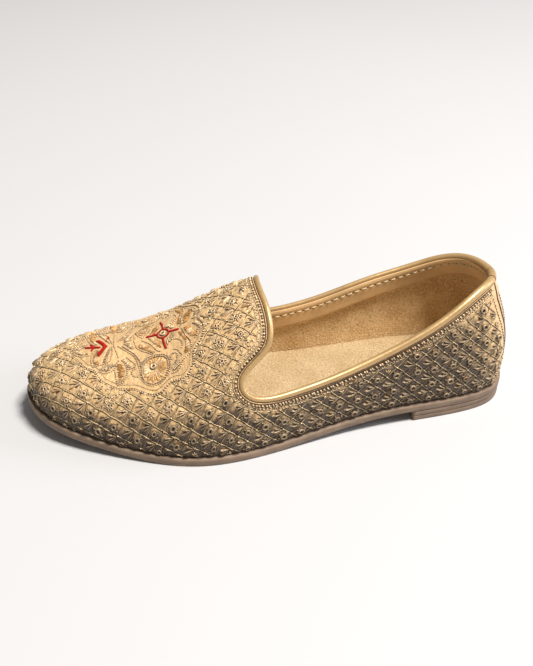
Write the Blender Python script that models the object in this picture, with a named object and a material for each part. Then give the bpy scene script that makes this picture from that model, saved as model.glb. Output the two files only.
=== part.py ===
"""A man's embroidered slip-on mojari, left foot. Every table is in millimetres, measured from the
back of the heel: x grows toward the inner side of the foot, y toward the toe, z up from the floor.
The finished object is in metres, with its origin under the middle of the heel."""

import bpy
import numpy as np

# Lengths that rule the shoe
UPPER_LENGTH = 280.0
TIP_X = 5.5
HEEL_MIDDLE_Y = 31.0
WALL = 2.0
GAP = 0.3

# Sole and heel
SOLE_THICKNESS = 4.5
SOLE_LEDGE = 2.5
SEAT_HEIGHT = 6.5
BREAST_Y = 63.0
SHANK_END_Y = 163.0
TREAD_END_Y = 205.0
TOE_SPRING = 9.5
TOE_SPRING_POWER = 1.55
LIFTS = 2

# Insole, collar piping and the facing inside the collar
INSOLE_THICKNESS = 2.5
INSOLE_INSET = WALL + 0.7
PIPING_RADIUS = 2.2
FACING_WIDTH = 11.5
FACING_THICKNESS = 0.9
FACING_INSET = WALL + 0.9

# Outline of the upper where it meets the sole: distance from the back, half width on the outer
# and on the inner side of the foot
OUTLINE = (
    # y, outer, inner
    (8, 21.5, 21),
    (30, 31, 31.5),
    (62, 35, 32),
    (105, 40.5, 31),
    (150, 51, 35.5),
    (190, 56, 45.5),
    (225, 46.5, 45.5),
    (254, 32.5, 35.5),
    (272.5, 17.5, 21.5),
)

# Line over the top of the foot where the sections of both sides meet: share of the outline from
# heel to toe, and where that section reaches the top
SPINE = (
    # share, x, y
    (0.0, 0, 38),
    (0.1, -0.7, 46),
    (0.2, -1.4, 64),
    (0.3, -2.0, 86),
    (0.4, -2.4, 112),
    (0.5, -2.1, 141),
    (0.6, -1.4, 170),
    (0.7, 0, 196),
    (0.8, 1.4, 216),
    (0.9, 1.6, 231),
    (1.0, 1.5, 238),
)

# Height of that line above the floor. Behind the tongue it is the height the walls lean toward.
RIDGE = (
    # y, z
    (38, 104),
    (80, 113),
    (115, 101),
    (145, 83),
    (170, 71.5),
    (195, 56),
    (217, 47),
    (238, 43),
    (258, 40),
)

# Form of the sections: how high the side rises before it turns inward, how far it swells past
# the outline, and how wide the top stays as a share of the half width
SECTIONS = (
    # share, rise, swell, reach
    (0.0, 28, 7, 0.64),
    (0.06, 28, 6.6, 0.68),
    (0.14, 27, 6, 0.78),
    (0.3, 24, 4.5, 0.92),
    (0.5, 22, 3.5, 0.86),
    (0.65, 18, 3, 0.76),
    (0.8, 16.5, 3, 0.73),
    (0.92, 17, 3, 0.72),
    (1.0, 18, 3, 0.70),
)

# Edge of the upper under the piping: share of the outline from heel to toe, and share of the
# girth from the sole up to the top line
OUTER_EDGE = (
    # along, up
    (0.0, 0.618),
    (0.1, 0.602),
    (0.2, 0.462),
    (0.3, 0.332),
    (0.4, 0.273),
    (0.48, 0.273),
    (0.535, 0.285),
    (0.57, 0.327),
    (0.587, 0.405),
    (0.584, 0.478),
    (0.562, 0.545),
    (0.541, 0.605),
    (0.535, 0.7),
    (0.54, 0.85),
    (0.546, 1.0),
)
INNER_EDGE = (
    # along, up
    (0.0, 0.618),
    (0.1, 0.592),
    (0.2, 0.473),
    (0.3, 0.39),
    (0.4, 0.332),
    (0.48, 0.325),
    (0.535, 0.335),
    (0.57, 0.36),
    (0.587, 0.42),
    (0.584, 0.488),
    (0.562, 0.55),
    (0.541, 0.612),
    (0.535, 0.7),
    (0.54, 0.85),
    (0.546, 1.0),
)
OUTER, INNER = -1, 1
EDGE = {OUTER: OUTER_EDGE, INNER: INNER_EDGE}

# Where the columns of the upper stand on the sole. Those of the walls stand under their own
# edge up to a share of the outline, those of the vamp fan out from there.
UPRIGHT_UNTIL = 0.5
FOOT_OF_CORNER = 0.605
FOOT_OF_PEAK = 0.73
EDGE_COLUMNS = 0.66
RULE_POWER = 4
PAST_COLUMNS = 0.15
COLUMNS = 56
ROWS = 11
SECTION_STEPS = 25
OUTLINE_POINTS = 1200

PLATE_STATIONS = 50
PLATE_ROWS = 6
HEEL_STATIONS = 16
EDGE_POINTS = 56
TUBE_SIDES = 8
FACING_ROWS = 3


def natural_spline(knots, values, x):
    """Smooth curve through the rows of a table, straight past its ends."""
    knots, values, x = (np.asarray(a, float) for a in (knots, values, x))
    n = len(knots)
    step = np.diff(knots)
    a = np.eye(n)
    b = np.zeros(n)
    for i in range(1, n - 1):
        a[i, i - 1 : i + 2] = step[i - 1], 2 * (step[i - 1] + step[i]), step[i]
        b[i] = 6 * ((values[i + 1] - values[i]) / step[i] - (values[i] - values[i - 1]) / step[i - 1])
    bend = np.linalg.solve(a, b)
    first = (values[1] - values[0]) / step[0] - step[0] * bend[1] / 6
    last = (values[-1] - values[-2]) / step[-1] + step[-1] * bend[-2] / 6
    i = np.clip(np.searchsorted(knots, x, side="right") - 1, 0, n - 2)
    h, before, after = step[i], knots[i + 1] - x, x - knots[i]
    y = (bend[i] * before**3 + bend[i + 1] * after**3) / (6 * h)
    y += (values[i] / h - bend[i] * h / 6) * before
    y += (values[i + 1] / h - bend[i + 1] * h / 6) * after
    y = np.where(x < knots[0], values[0] + first * (x - knots[0]), y)
    return np.where(x > knots[-1], values[-1] + last * (x - knots[-1]), y)


def column(table, k):
    return np.array([row[k] for row in table], float)


def closed_spline(points, count):
    """Points of a smooth closed curve, spaced by the square root of each chord."""
    points = np.asarray(points, float)
    n = len(points)
    chord = np.sqrt(np.linalg.norm(np.roll(points, -1, axis=0) - points, axis=1))
    knots = np.r_[0, np.cumsum(chord)]
    a = np.zeros((n, n))
    b = np.zeros((n, points.shape[1]))
    for i in range(n):
        j = (i + 1) % n
        a[i, i - 1] += chord[i - 1]
        a[i, i] += 2 * (chord[i - 1] + chord[i])
        a[i, j] += chord[i]
        b[i] = 6 * ((points[j] - points[i]) / chord[i] - (points[i] - points[i - 1]) / chord[i - 1])
    bend = np.linalg.solve(a, b)
    x = np.linspace(0, knots[-1], count, endpoint=False)
    i = np.clip(np.searchsorted(knots, x, side="right") - 1, 0, n - 1)
    j = (i + 1) % n
    h = chord[i][:, None]
    before, after = (knots[i + 1] - x)[:, None], (x - knots[i])[:, None]
    y = (bend[i] * before**3 + bend[j] * after**3) / (6 * h)
    return y + (points[i] / h - bend[i] * h / 6) * before + (points[j] / h - bend[j] * h / 6) * after


def outline_sides():
    """For each side: share of its length, points from heel to toe and outward directions."""
    y, outer, inner = (column(OUTLINE, k) for k in range(3))
    loop = np.vstack(
        ([[0, 0]], np.c_[-outer, y], [[TIP_X, UPPER_LENGTH]], np.c_[inner, y][::-1])
    )
    curve = closed_spline(loop, OUTLINE_POINTS)
    curve = np.roll(curve, -int(np.argmin(curve[:, 1])), axis=0)
    tip = int(np.argmax(curve[:, 1]))
    sides = {}
    for side, points in (
        (OUTER, curve[: tip + 1]),
        (INNER, np.vstack((curve[tip:], curve[:1]))[::-1]),
    ):
        along = np.gradient(points, axis=0)
        along[0] = side, 0
        along[-1] = -side, 0
        along /= np.linalg.norm(along, axis=1)[:, None]
        length = np.r_[0, np.cumsum(np.linalg.norm(np.diff(points, axis=0), axis=1))]
        sides[side] = length / length[-1], points, np.c_[along[:, 1], -along[:, 0]] * side
    return sides


SIDES = outline_sides()


def outline(side, share, offset=0.0):
    shares, points, outward = SIDES[side]
    moved = points + offset * outward
    return np.interp(share, shares, moved[:, 0]), np.interp(share, shares, moved[:, 1])


def under(y):
    """Height of the underside of the outsole: heel seat, shank, flat tread and toe spring."""
    down = np.clip((SHANK_END_Y - y) / (SHANK_END_Y - BREAST_Y), 0, 1)
    toe = np.clip((y - TREAD_END_Y) / (UPPER_LENGTH - TREAD_END_Y), 0, 2)
    return SEAT_HEIGHT * down * down * (3 - 2 * down) + TOE_SPRING * toe**TOE_SPRING_POWER


def ridge(y):
    return natural_spline(column(RIDGE, 0), column(RIDGE, 1), y)


def section_handles(side, share):
    """Centre, direction, radii and heights of the four handles of a section."""
    x, y = outline(side, share)
    foot = under(y) + SOLE_THICKNESS + GAP
    top_x = natural_spline(column(SPINE, 0), column(SPINE, 1), share)
    top_y = natural_spline(column(SPINE, 0), column(SPINE, 2), share)
    top = ridge(top_y)
    radius = np.hypot(x - top_x, y - top_y)
    ux, uy = (x - top_x) / radius, (y - top_y) / radius
    rise, swell, reach = (
        natural_spline(column(SECTIONS, 0), column(SECTIONS, k), share) for k in (1, 2, 3)
    )
    slope = ridge(top_y + 0.5) - ridge(top_y - 0.5)
    radii = radius, radius + swell, radius * reach, 0 * radius
    heights = foot, foot + rise, top + slope * uy * radius * reach, top
    return (top_x, top_y), (ux, uy), radii, heights


def bezier(handles, b):
    weights = (1 - b) ** 3, 3 * b * (1 - b) ** 2, 3 * b * b * (1 - b), b**3
    (x, y), (ux, uy), radii, heights = handles
    r = sum(w * radius for w, radius in zip(weights, radii))
    z = sum(w * height for w, height in zip(weights, heights))
    return np.array((x + ux * r, y + uy * r, z))


def last(side, along, up):
    """Points of the outside of the upper: along from heel to toe, up from the sole to the top
    line, each as a share. The first axis of the result is x, y, z."""
    along, up = np.broadcast_arrays(np.asarray(along, float), np.asarray(up, float))
    shape, along, up = along.shape, along.ravel(), up.ravel()
    handles = section_handles(side, along)
    steps = np.linspace(0, 1, SECTION_STEPS)
    wide = tuple(tuple(np.asarray(a)[:, None] for a in group) for group in handles)
    chords = np.linalg.norm(np.diff(bezier(wide, steps[None]), axis=2), axis=0)
    length = np.cumsum(np.c_[np.zeros(len(along)), chords], axis=1)
    wanted = up * length[:, -1]
    k = np.arange(len(along))
    i = np.clip((length < wanted[:, None]).sum(axis=1) - 1, 0, SECTION_STEPS - 2)
    part = (wanted - length[k, i]) / (length[k, i + 1] - length[k, i])
    return bezier(handles, steps[i] + part * steps[1]).reshape(3, *shape)


def slopes(side, along, up, small=1e-3):
    """Directions of growing along and up, per share."""
    a0, a1 = np.clip(along - small, 0, 1), np.clip(along + small, 0, 1)
    u0, u1 = np.clip(up - small, 0, 1), np.clip(up + small, 0, 1)
    return (
        (last(side, a1, up) - last(side, a0, up)) / (a1 - a0),
        (last(side, along, u1) - last(side, along, u0)) / (u1 - u0),
    )


def unit(vectors):
    return vectors / np.linalg.norm(vectors, axis=0)


def outward(side, along, up):
    da, du = slopes(side, along, up)
    return unit(np.cross(du, da, axis=0)) * -side


def walk(side, along, up, direction, distance, steps=6):
    """Moves points over the surface, starting in a given direction."""
    for _ in range(steps):
        da, du = slopes(side, along, up)
        normal = unit(np.cross(da, du, axis=0))
        direction = unit(direction - (direction * normal).sum(axis=0) * normal)
        aa, au, uu = (da * da).sum(axis=0), (da * du).sum(axis=0), (du * du).sum(axis=0)
        pa, pu = (direction * da).sum(axis=0), (direction * du).sum(axis=0)
        det = aa * uu - au * au
        along = np.clip(along + distance / steps * (pa * uu - pu * au) / det, 0, 1)
        up = np.clip(up + distance / steps * (pu * aa - pa * au) / det, 0, 1)
    return along, up


def edge_curve(side, count):
    """Shares along and up at points of the upper's edge, from the heel to the tongue's peak."""
    along, up = column(EDGE[side], 0), column(EDGE[side], 1)
    along = np.r_[-along[2:0:-1], along, along[-2:-4:-1]]
    up = np.r_[up[2:0:-1], up, 2 - up[-2:-4:-1]]
    girth, half_round = 110.0, 320.0
    chord = np.sqrt(np.hypot(np.diff(along) * half_round, np.diff(up) * girth))
    knots = np.r_[0, np.cumsum(chord)]
    x = np.linspace(knots[2], knots[-3], count)
    along, up = natural_spline(knots, along, x), natural_spline(knots, up, x)
    along[0] = 0
    up[-1] = 1
    return along, np.minimum(up, 1)


def upper_shares(side):
    """Shares along and up at the grid of the upper: columns from heel to toe, rows upward."""
    peak = round(EDGE_COLUMNS * COLUMNS)
    along, up = edge_curve(side, peak + 1)
    front = np.linspace(along[-1], 1, COLUMNS - peak + 1)[1:]
    along, up = np.r_[along, front], np.r_[up, np.ones(len(front))]
    columns = np.arange(COLUMNS + 1)
    corner = int(np.argmax(along[: peak + 1]))
    upright = int(np.searchsorted(along[: corner + 1], UPRIGHT_UNTIL)) - 1
    knots = upright - 1, upright, corner, peak, COLUMNS
    feet = along[upright - 1], along[upright], FOOT_OF_CORNER, FOOT_OF_PEAK, 1
    fan = natural_spline(knots, feet, columns)
    foot = np.where(columns < upright, along, fan)
    w = np.linspace(0, 1, ROWS + 1)
    past = np.clip((columns - peak) / (PAST_COLUMNS * COLUMNS), 0, 1)[:, None]
    turn = (1 - past) * w**RULE_POWER + past * w * w * (3 - 2 * w)
    return foot[:, None] + (along - foot)[:, None] * turn, up[:, None] * w, peak


def skin_of_upper():
    """Vertices and faces of the outside of the upper, both sides joined at heel, toe and top."""
    points, index = [], {}
    for side in (OUTER, INNER):
        along, up, peak = upper_shares(side)
        grid = last(side, along, up)
        index[side] = np.zeros(along.shape, int)
        for i in range(COLUMNS + 1):
            for j in range(ROWS + 1):
                joined = i in (0, COLUMNS) or (j == ROWS and i >= peak)
                if side == INNER and joined:
                    index[side][i, j] = index[OUTER][i, j]
                else:
                    index[side][i, j] = len(points)
                    points.append(grid[:, i, j])
    faces = []
    for side in (OUTER, INNER):
        n = index[side]
        for i in range(COLUMNS):
            for j in range(ROWS):
                face = n[i, j], n[i, j + 1], n[i + 1, j + 1], n[i + 1, j]
                faces.append(face if side == OUTER else face[::-1])
    return np.array(points), faces


def point_normals(points, faces):
    normals = np.zeros_like(points)
    for face in faces:
        corners = points[list(face)]
        normal = np.cross(corners[2] - corners[0], corners[-1] - corners[1])
        for i in face:
            normals[i] += normal
    return normals / np.linalg.norm(normals, axis=1)[:, None]


def solid_between(points, back_points, faces):
    """Closes a skin, its parallel skin behind it and the rim between their edges."""
    n = len(points)
    ends = set()
    for face in faces:
        for a, b in zip(face, face[1:] + face[:1]):
            ends.add((a, b))
    rim = [(b, a, a + n, b + n) for a, b in ends if (b, a) not in ends]
    behind = [tuple(i + n for i in reversed(face)) for face in faces]
    return np.vstack((points, back_points)), list(faces) + behind + rim


def plate_skin(offset, stations, ends):
    """Vertices and faces over the outline, seen from above. ends holds the last share of each
    side; at 1 the plate closes in the toe."""
    points, index = [], []
    for k, share in enumerate(np.linspace(0, 1, stations)):
        xo, yo = outline(OUTER, share * ends[OUTER], offset)
        xi, yi = outline(INNER, share * ends[INNER], offset)
        single = k == 0 or (k == stations - 1 and ends[OUTER] == 1)
        row = []
        for m in range(PLATE_ROWS + 1):
            if m == 0 or not single:
                part = m / PLATE_ROWS
                points.append((xo + part * (xi - xo), yo + part * (yi - yo)))
            row.append(len(points) - 1)
        index.append(row)
    faces = []
    for a, b in zip(index, index[1:]):
        for m in range(PLATE_ROWS):
            face = a[m], a[m + 1], b[m + 1], b[m]
            faces.append(tuple(dict.fromkeys(face)))
    return np.array(points), faces


def plate(offset, stations, ends, low, high):
    """Closed plate between two heights, given as functions of y."""
    flat, faces = plate_skin(offset, stations, ends)
    top = np.c_[flat, high(flat[:, 1])]
    bottom = np.c_[flat, low(flat[:, 1])]
    return solid_between(top, bottom, faces)


def edge_frames():
    """Loop of the upper's edge round the whole opening: for each point its side, shares, place,
    direction out of the edge and direction out of the shoe."""
    sides, shares = [], []
    for side in (OUTER, INNER):
        along, up = edge_curve(side, EDGE_POINTS + 1)
        order = slice(0, -1) if side == OUTER else slice(None, 0, -1)
        sides.append(np.full(EDGE_POINTS, side))
        shares.append(np.array((along, up))[:, order])
    sides, shares = np.concatenate(sides), np.hstack(shares)
    places, normals = np.zeros((3, len(sides))), np.zeros((3, len(sides)))
    for side in (OUTER, INNER):
        mine = sides == side
        places[:, mine] = last(side, *shares[:, mine])
        normals[:, mine] = outward(side, *shares[:, mine])
    for end in (0, EDGE_POINTS):
        side = -sides[end]
        normals[:, end] += outward(side, *shares[:, end : end + 1])[:, 0]
    normals = unit(normals)
    tangent = unit(np.roll(places, -1, axis=1) - np.roll(places, 1, axis=1))
    normals = unit(normals - (normals * tangent).sum(axis=0) * tangent)
    return sides, shares, places, np.cross(tangent, normals, axis=0), normals


def ring(rows):
    """Closed solid of loops of points, each joined to the next and the last to the first."""
    count = len(rows[0])
    points = np.vstack(rows)
    faces = []
    for r in range(len(rows)):
        s = (r + 1) % len(rows)
        for k in range(count):
            m = (k + 1) % count
            faces.append((r * count + k, r * count + m, s * count + m, s * count + k))
    return points, faces


def collar_piping():
    _, _, places, out, normals = edge_frames()
    centre = places - normals * WALL / 2 + out * (PIPING_RADIUS + GAP)
    turns = np.linspace(0, 2 * np.pi, TUBE_SIDES, endpoint=False)
    rows = [
        (centre + PIPING_RADIUS * (np.cos(a) * out + np.sin(a) * normals)).T for a in turns
    ]
    return ring(rows)


def collar_facing():
    sides, shares, _, out, _ = edge_frames()
    lining, face = [], []
    for distance in np.linspace(0.4, FACING_WIDTH, FACING_ROWS):
        place, normal = np.zeros_like(out), np.zeros_like(out)
        for side in (OUTER, INNER):
            mine = sides == side
            moved = walk(side, *shares[:, mine], -out[:, mine], distance)
            place[:, mine] = last(side, *moved)
            normal[:, mine] = outward(side, *moved)
        lining.append((place - normal * FACING_INSET).T)
        face.append((place - normal * (FACING_INSET + FACING_THICKNESS)).T)
    return ring(lining + face[::-1])


def add_object(name, solid, material):
    points, faces = solid
    points = (points - (0, HEEL_MIDDLE_Y, 0)) * 0.001
    mesh = bpy.data.meshes.new(name)
    mesh.from_pydata(points.tolist(), [], [tuple(int(i) for i in face) for face in faces])
    mesh.materials.append(material)
    obj = bpy.data.objects.new(name, mesh)
    bpy.context.scene.collection.objects.link(obj)
    return obj


def material(name, colour, roughness):
    made = bpy.data.materials.new(name)
    made.use_nodes = True
    shader = made.node_tree.nodes["Principled BSDF"]
    shader.inputs["Base Color"].default_value = (*colour, 1)
    shader.inputs["Roughness"].default_value = roughness
    return made


def main():
    for obj in list(bpy.data.objects):
        bpy.data.objects.remove(obj)
    embroidery = material("embroidered_fabric", (0.66, 0.50, 0.30), 0.6)
    gold_leather = material("gold_piping_leather", (0.76, 0.60, 0.38), 0.35)
    facing_leather = material("facing_leather", (0.42, 0.25, 0.11), 0.55)
    plush = material("insole_plush", (0.62, 0.40, 0.17), 0.95)
    sole_leather = material("sole_leather", (0.36, 0.27, 0.18), 0.7)

    points, faces = skin_of_upper()
    inside = points - WALL * point_normals(points, faces)
    add_object("upper", solid_between(points, inside, faces), embroidery)
    add_object("collar_piping", collar_piping(), gold_leather)
    add_object("collar_facing", collar_facing(), facing_leather)

    whole = {OUTER: 1, INNER: 1}

    def sole_top(y):
        return under(y) + SOLE_THICKNESS

    add_object("outsole", plate(SOLE_LEDGE, PLATE_STATIONS, whole, under, sole_top), sole_leather)
    add_object(
        "insole",
        plate(
            -INSOLE_INSET,
            PLATE_STATIONS,
            whole,
            lambda y: sole_top(y) + GAP,
            lambda y: sole_top(y) + GAP + INSOLE_THICKNESS,
        ),
        plush,
    )
    breast = {}
    for side in (OUTER, INNER):
        shares = np.linspace(0, 0.5, 501)
        breast[side] = float(np.interp(BREAST_Y, outline(side, shares, SOLE_LEDGE)[1], shares))
    lift = SEAT_HEIGHT / LIFTS
    for k in range(LIFTS):
        low, high = k * lift, (k + 1) * lift - GAP
        add_object(
            f"heel_lift_{k + 1}",
            plate(SOLE_LEDGE, HEEL_STATIONS, breast, lambda y: 0 * y + low, lambda y: 0 * y + high),
            sole_leather,
        )


if __name__ == "__main__":
    main()
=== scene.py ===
"""Embroidered slip-on mojari, left shoe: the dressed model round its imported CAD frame.

Shapes are worked out in millimetres, measured from the back of the heel as in the part's
source: x grows toward the inner side of the foot, y toward the toe, z up from the floor. The
cloth of the upper also has a flat pattern: x across the shoe from the centre line, y along it.
"""

import math
from functools import cache
from types import SimpleNamespace

import bmesh
import bpy
import numpy as np
from bpy.props import FloatProperty, FloatVectorProperty, PointerProperty
from mathutils import Matrix, Vector
from mathutils.bvhtree import BVHTree


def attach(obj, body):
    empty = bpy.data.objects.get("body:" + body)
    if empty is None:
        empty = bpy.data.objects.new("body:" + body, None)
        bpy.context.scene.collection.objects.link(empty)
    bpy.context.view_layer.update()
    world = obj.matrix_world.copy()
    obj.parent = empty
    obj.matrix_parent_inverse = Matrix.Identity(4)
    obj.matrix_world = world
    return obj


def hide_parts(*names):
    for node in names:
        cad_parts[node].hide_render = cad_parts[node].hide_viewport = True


bl_info = {
    "name": "Embroidered Mojari",
    "version": (1, 0, 0),
    "blender": (4, 5, 0),
    "location": "3D View > Sidebar > Mojari",
    "description": "Builds an embroidered slip-on mojari with its collar, sole and stage",
    "category": "Object",
}

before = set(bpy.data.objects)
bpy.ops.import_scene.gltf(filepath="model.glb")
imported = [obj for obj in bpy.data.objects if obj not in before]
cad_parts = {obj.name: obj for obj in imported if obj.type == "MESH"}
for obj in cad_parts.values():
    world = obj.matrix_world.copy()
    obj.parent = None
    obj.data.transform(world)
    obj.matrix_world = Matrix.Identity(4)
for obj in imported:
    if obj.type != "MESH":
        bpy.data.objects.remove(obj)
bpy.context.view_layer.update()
BODY = "root"
MM = 0.001
TINY = 1e-9

# Lengths that rule the shoe, in millimetres
UPPER_LENGTH = 280.0
TIP_X = 5.5
HEEL_MIDDLE_Y = 31.0
WALL = 2.0
GAP = 0.3
SOLE_THICKNESS = 4.5
SOLE_LEDGE = 2.5
SEAT_HEIGHT = 6.5
BREAST_Y = 63.0
SHANK_END_Y = 163.0
TREAD_END_Y = 205.0
TOE_SPRING = 9.5
TOE_SPRING_POWER = 1.55
INSOLE_THICKNESS = 2.5
INSOLE_INSET = WALL + 0.7
PLUSH = 0.3
PIPING_RADIUS = 2.2
PIPING_LIFT = 0.15
FACING_WIDTH = 11.5
FACING_THICKNESS = 0.9
FACING_INSET = WALL + 0.9
FACING_RISE = 1.9
STITCH_LINE = 2.1

OUTLINE = (
    # y, outer, inner
    (8, 21.5, 21), (30, 31, 31.5), (62, 35, 32), (105, 40.5, 31), (150, 51, 35.5),
    (190, 56, 45.5), (225, 46.5, 45.5), (254, 32.5, 35.5), (272.5, 17.5, 21.5),
)
SPINE = (
    # share, x, y
    (0, 0, 38), (0.1, -0.7, 46), (0.2, -1.4, 64), (0.3, -2, 86), (0.4, -2.4, 112),
    (0.5, -2.1, 141), (0.6, -1.4, 170), (0.7, 0, 196), (0.8, 1.4, 216), (0.9, 1.6, 231),
    (1, 1.5, 238),
)
RIDGE = (
    # y, z
    (38, 104), (80, 113), (115, 101), (145, 83), (170, 71.5), (195, 56), (217, 47), (238, 43),
    (258, 40),
)
SECTIONS = (
    # share, rise, swell, reach
    (0, 28, 7, 0.64), (0.06, 28, 6.6, 0.68), (0.14, 27, 6, 0.78), (0.3, 24, 4.5, 0.92),
    (0.5, 22, 3.5, 0.86), (0.65, 18, 3, 0.76), (0.8, 16.5, 3, 0.73), (0.92, 17, 3, 0.72),
    (1, 18, 3, 0.7),
)
EDGE = (
    # along, up on the outer side, up on the inner side
    (0, 0.618, 0.618), (0.1, 0.602, 0.592), (0.2, 0.462, 0.473), (0.3, 0.332, 0.39),
    (0.4, 0.273, 0.332), (0.48, 0.273, 0.325), (0.535, 0.285, 0.335), (0.57, 0.327, 0.36),
    (0.587, 0.405, 0.42), (0.584, 0.478, 0.488), (0.562, 0.545, 0.55), (0.541, 0.605, 0.612),
    (0.535, 0.7, 0.7), (0.54, 0.85, 0.85), (0.546, 1, 1),
)
OUTER, INNER = -1, 1
UPRIGHT_UNTIL = 0.5
FOOT_OF_CORNER = 0.605
FOOT_OF_PEAK = 0.73
EDGE_SHARE = 0.66
RULE_POWER = 4
PAST_SHARE = 0.15
SECTION_STEPS = 31
UPPER_COLUMNS, UPPER_ROWS = 236, 58
OUTLINE_POINTS = 1200
EDGE_POINTS = 300
GIRTH, HALF_ROUND = 110.0, 320.0
SMALL_SHARE, ASIDE = 1e-3, 0.98
WALK_STEPS = 6

# Flat pattern of the cloth: where the wall and the vamp patterns meet, how much the wall's rows
# are pulled together by lasting, and the phase of the lattice
MEET_ALONG, MEET_UP = 0.54, 0.25
BLEND_FROM, BLEND_TO = 0.42, 0.66
ROW_X, ROW_PULL = 96.9, 1.09
LATTICE_Y = 134.3

# How far the lattice is tried from its middle: lines each way, length and step along a line,
# half cells to a crossing, cells across and along
LATTICE_LINES, LINE_REACH, LINE_STEP = 40, 340, 1.5
CROSSINGS_X, CROSSINGS_Y = 20, 30
CELLS_X, CELLS_Y = (-10, 11), (-13, 20)

# Piping: where its ends meet, and its plumpness as (share along the shoe, share of the radius)
JOINT_ALONG = 0.058
PIPING_PLUMP = {
    OUTER: ((0.0, 1.12), (0.08, 1.08), (0.2, 1.0), (0.36, 0.95), (0.5, 0.82), (0.56, 0.7)),
    INNER: ((0.0, 1.1), (0.03, 0.98), (0.08, 0.85), (0.2, 0.78), (0.45, 0.75), (0.56, 0.7)),
}

# Medallion on the vamp: places in the flat pattern on the outer half, as (x from the centre line
# toward the outer side, y). The inner half mirrors it about an axis that leans a little.
AXIS = ((222, -3.5), (246, -3.0), (278, -0.6), (300, 0.0))
BORDER = (
    (0, 299), (4.6, 296.4), (9.8, 294), (14.2, 291.6), (16.4, 288), (18.4, 286.2), (22.6, 285.2),
    (26.6, 282.4), (29.6, 278.6), (32.2, 275), (33.2, 271), (34.4, 266.4), (37, 262.6),
    (39.8, 259.2), (41.4, 255.2), (40.9, 251.2), (38.4, 247.4), (36.8, 244.6), (37.4, 241),
    (38.4, 238.4), (36.8, 234.4), (34, 231.8), (30.6, 230), (26, 229.8), (22.8, 227.6),
    (20.6, 224.6), (16.8, 222), (12.2, 220.6), (8, 221.4), (3.6, 223.6),
)
# Bands of satin stitches between two edges: warm or not, one edge, the other edge
BANDS = (
    (1, ((29.4, 274.4), (24, 274.8), (19.5, 274.9), (17, 274.4)),
        ((28.6, 273.2), (26.6, 270.9), (22, 269.3), (17.6, 270.6))),
    (0, ((18.5, 283.4), (20.3, 280.5), (19.5, 277.5), (17.3, 275.4)),
        ((15.6, 282.6), (15.2, 280.4), (14.9, 278.2), (15.4, 276.4))),
    (1, ((13.4, 286.6), (9.5, 287.2), (5.5, 285.6), (3, 283.6)),
        ((13.4, 283.4), (10, 284.2), (7.2, 284.2), (4, 282.9))),
    (0, ((13.2, 281.7), (9.5, 280.3), (5, 278.1), (2.4, 276.8)),
        ((13.4, 279.4), (9, 277.9), (5.4, 276.4), (2.8, 275.6))),
    (0, ((20, 269.2), (17.5, 269.9), (14.8, 271.7)),
        ((20.6, 265.4), (17.6, 266.6), (14, 268.7))),
    (0, ((4.2, 270.3), (9, 266.6), (12.6, 263.9), (17.4, 261.7), (22, 261.2)),
        ((4.2, 268.3), (8.6, 265.2), (12.4, 262.4), (17.2, 260.4), (21.6, 260.2))),
    (0, ((2, 269), (5, 267.4), (7.6, 265.2)),
        ((3, 264.6), (5.4, 263.6), (7.8, 262.8))),
    (1, ((8.8, 261.4), (11.2, 258.4), (13.4, 255.6), (15.4, 253.9)),
        ((4.2, 258.6), (6.6, 256.2), (9.8, 253.8), (14.4, 253))),
    (1, ((13.8, 248.2), (10.8, 250.6), (7, 252.8), (3.4, 255)),
        ((8.6, 247.7), (7.4, 248.8), (5.6, 250), (3.4, 251.4))),
    (0, ((13, 243.9), (11.4, 241.8), (9, 239.7), (5.8, 238.4)),
        ((7.8, 244.2), (7.2, 242.8), (6.2, 241.8), (5, 241.2))),
    (0, ((31.6, 243.2), (31.6, 240.6), (29.5, 238.8), (27, 238.6)),
        ((27.6, 243.6), (26.6, 242.2), (25.8, 241.2), (24.8, 240.6))),
    (1, ((23.6, 235.6), (20, 234.6), (16.4, 233.4), (12, 235.4), (7, 237)),
        ((23.2, 231.9), (19.4, 231.3), (15.6, 231.6), (11, 233.4), (6.4, 235))),
    (1, ((15.6, 227.2), (14.4, 230.4), (10.6, 232.2), (5.6, 233.6)),
        ((14.6, 226.2), (11.6, 226.8), (8.4, 228.4), (5.2, 230.4))),
    (0, ((10.8, 225), (8.2, 226), (5.4, 228)),
        ((9.8, 221.9), (7.6, 223.2), (5.4, 225))),
    (0, ((4.6, 289.2), (4.2, 292.6), (2.2, 295), (0.2, 296.2)),
        ((2.8, 289.4), (2.4, 291.6), (1.4, 293), (0.2, 293.8))),
)
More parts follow.
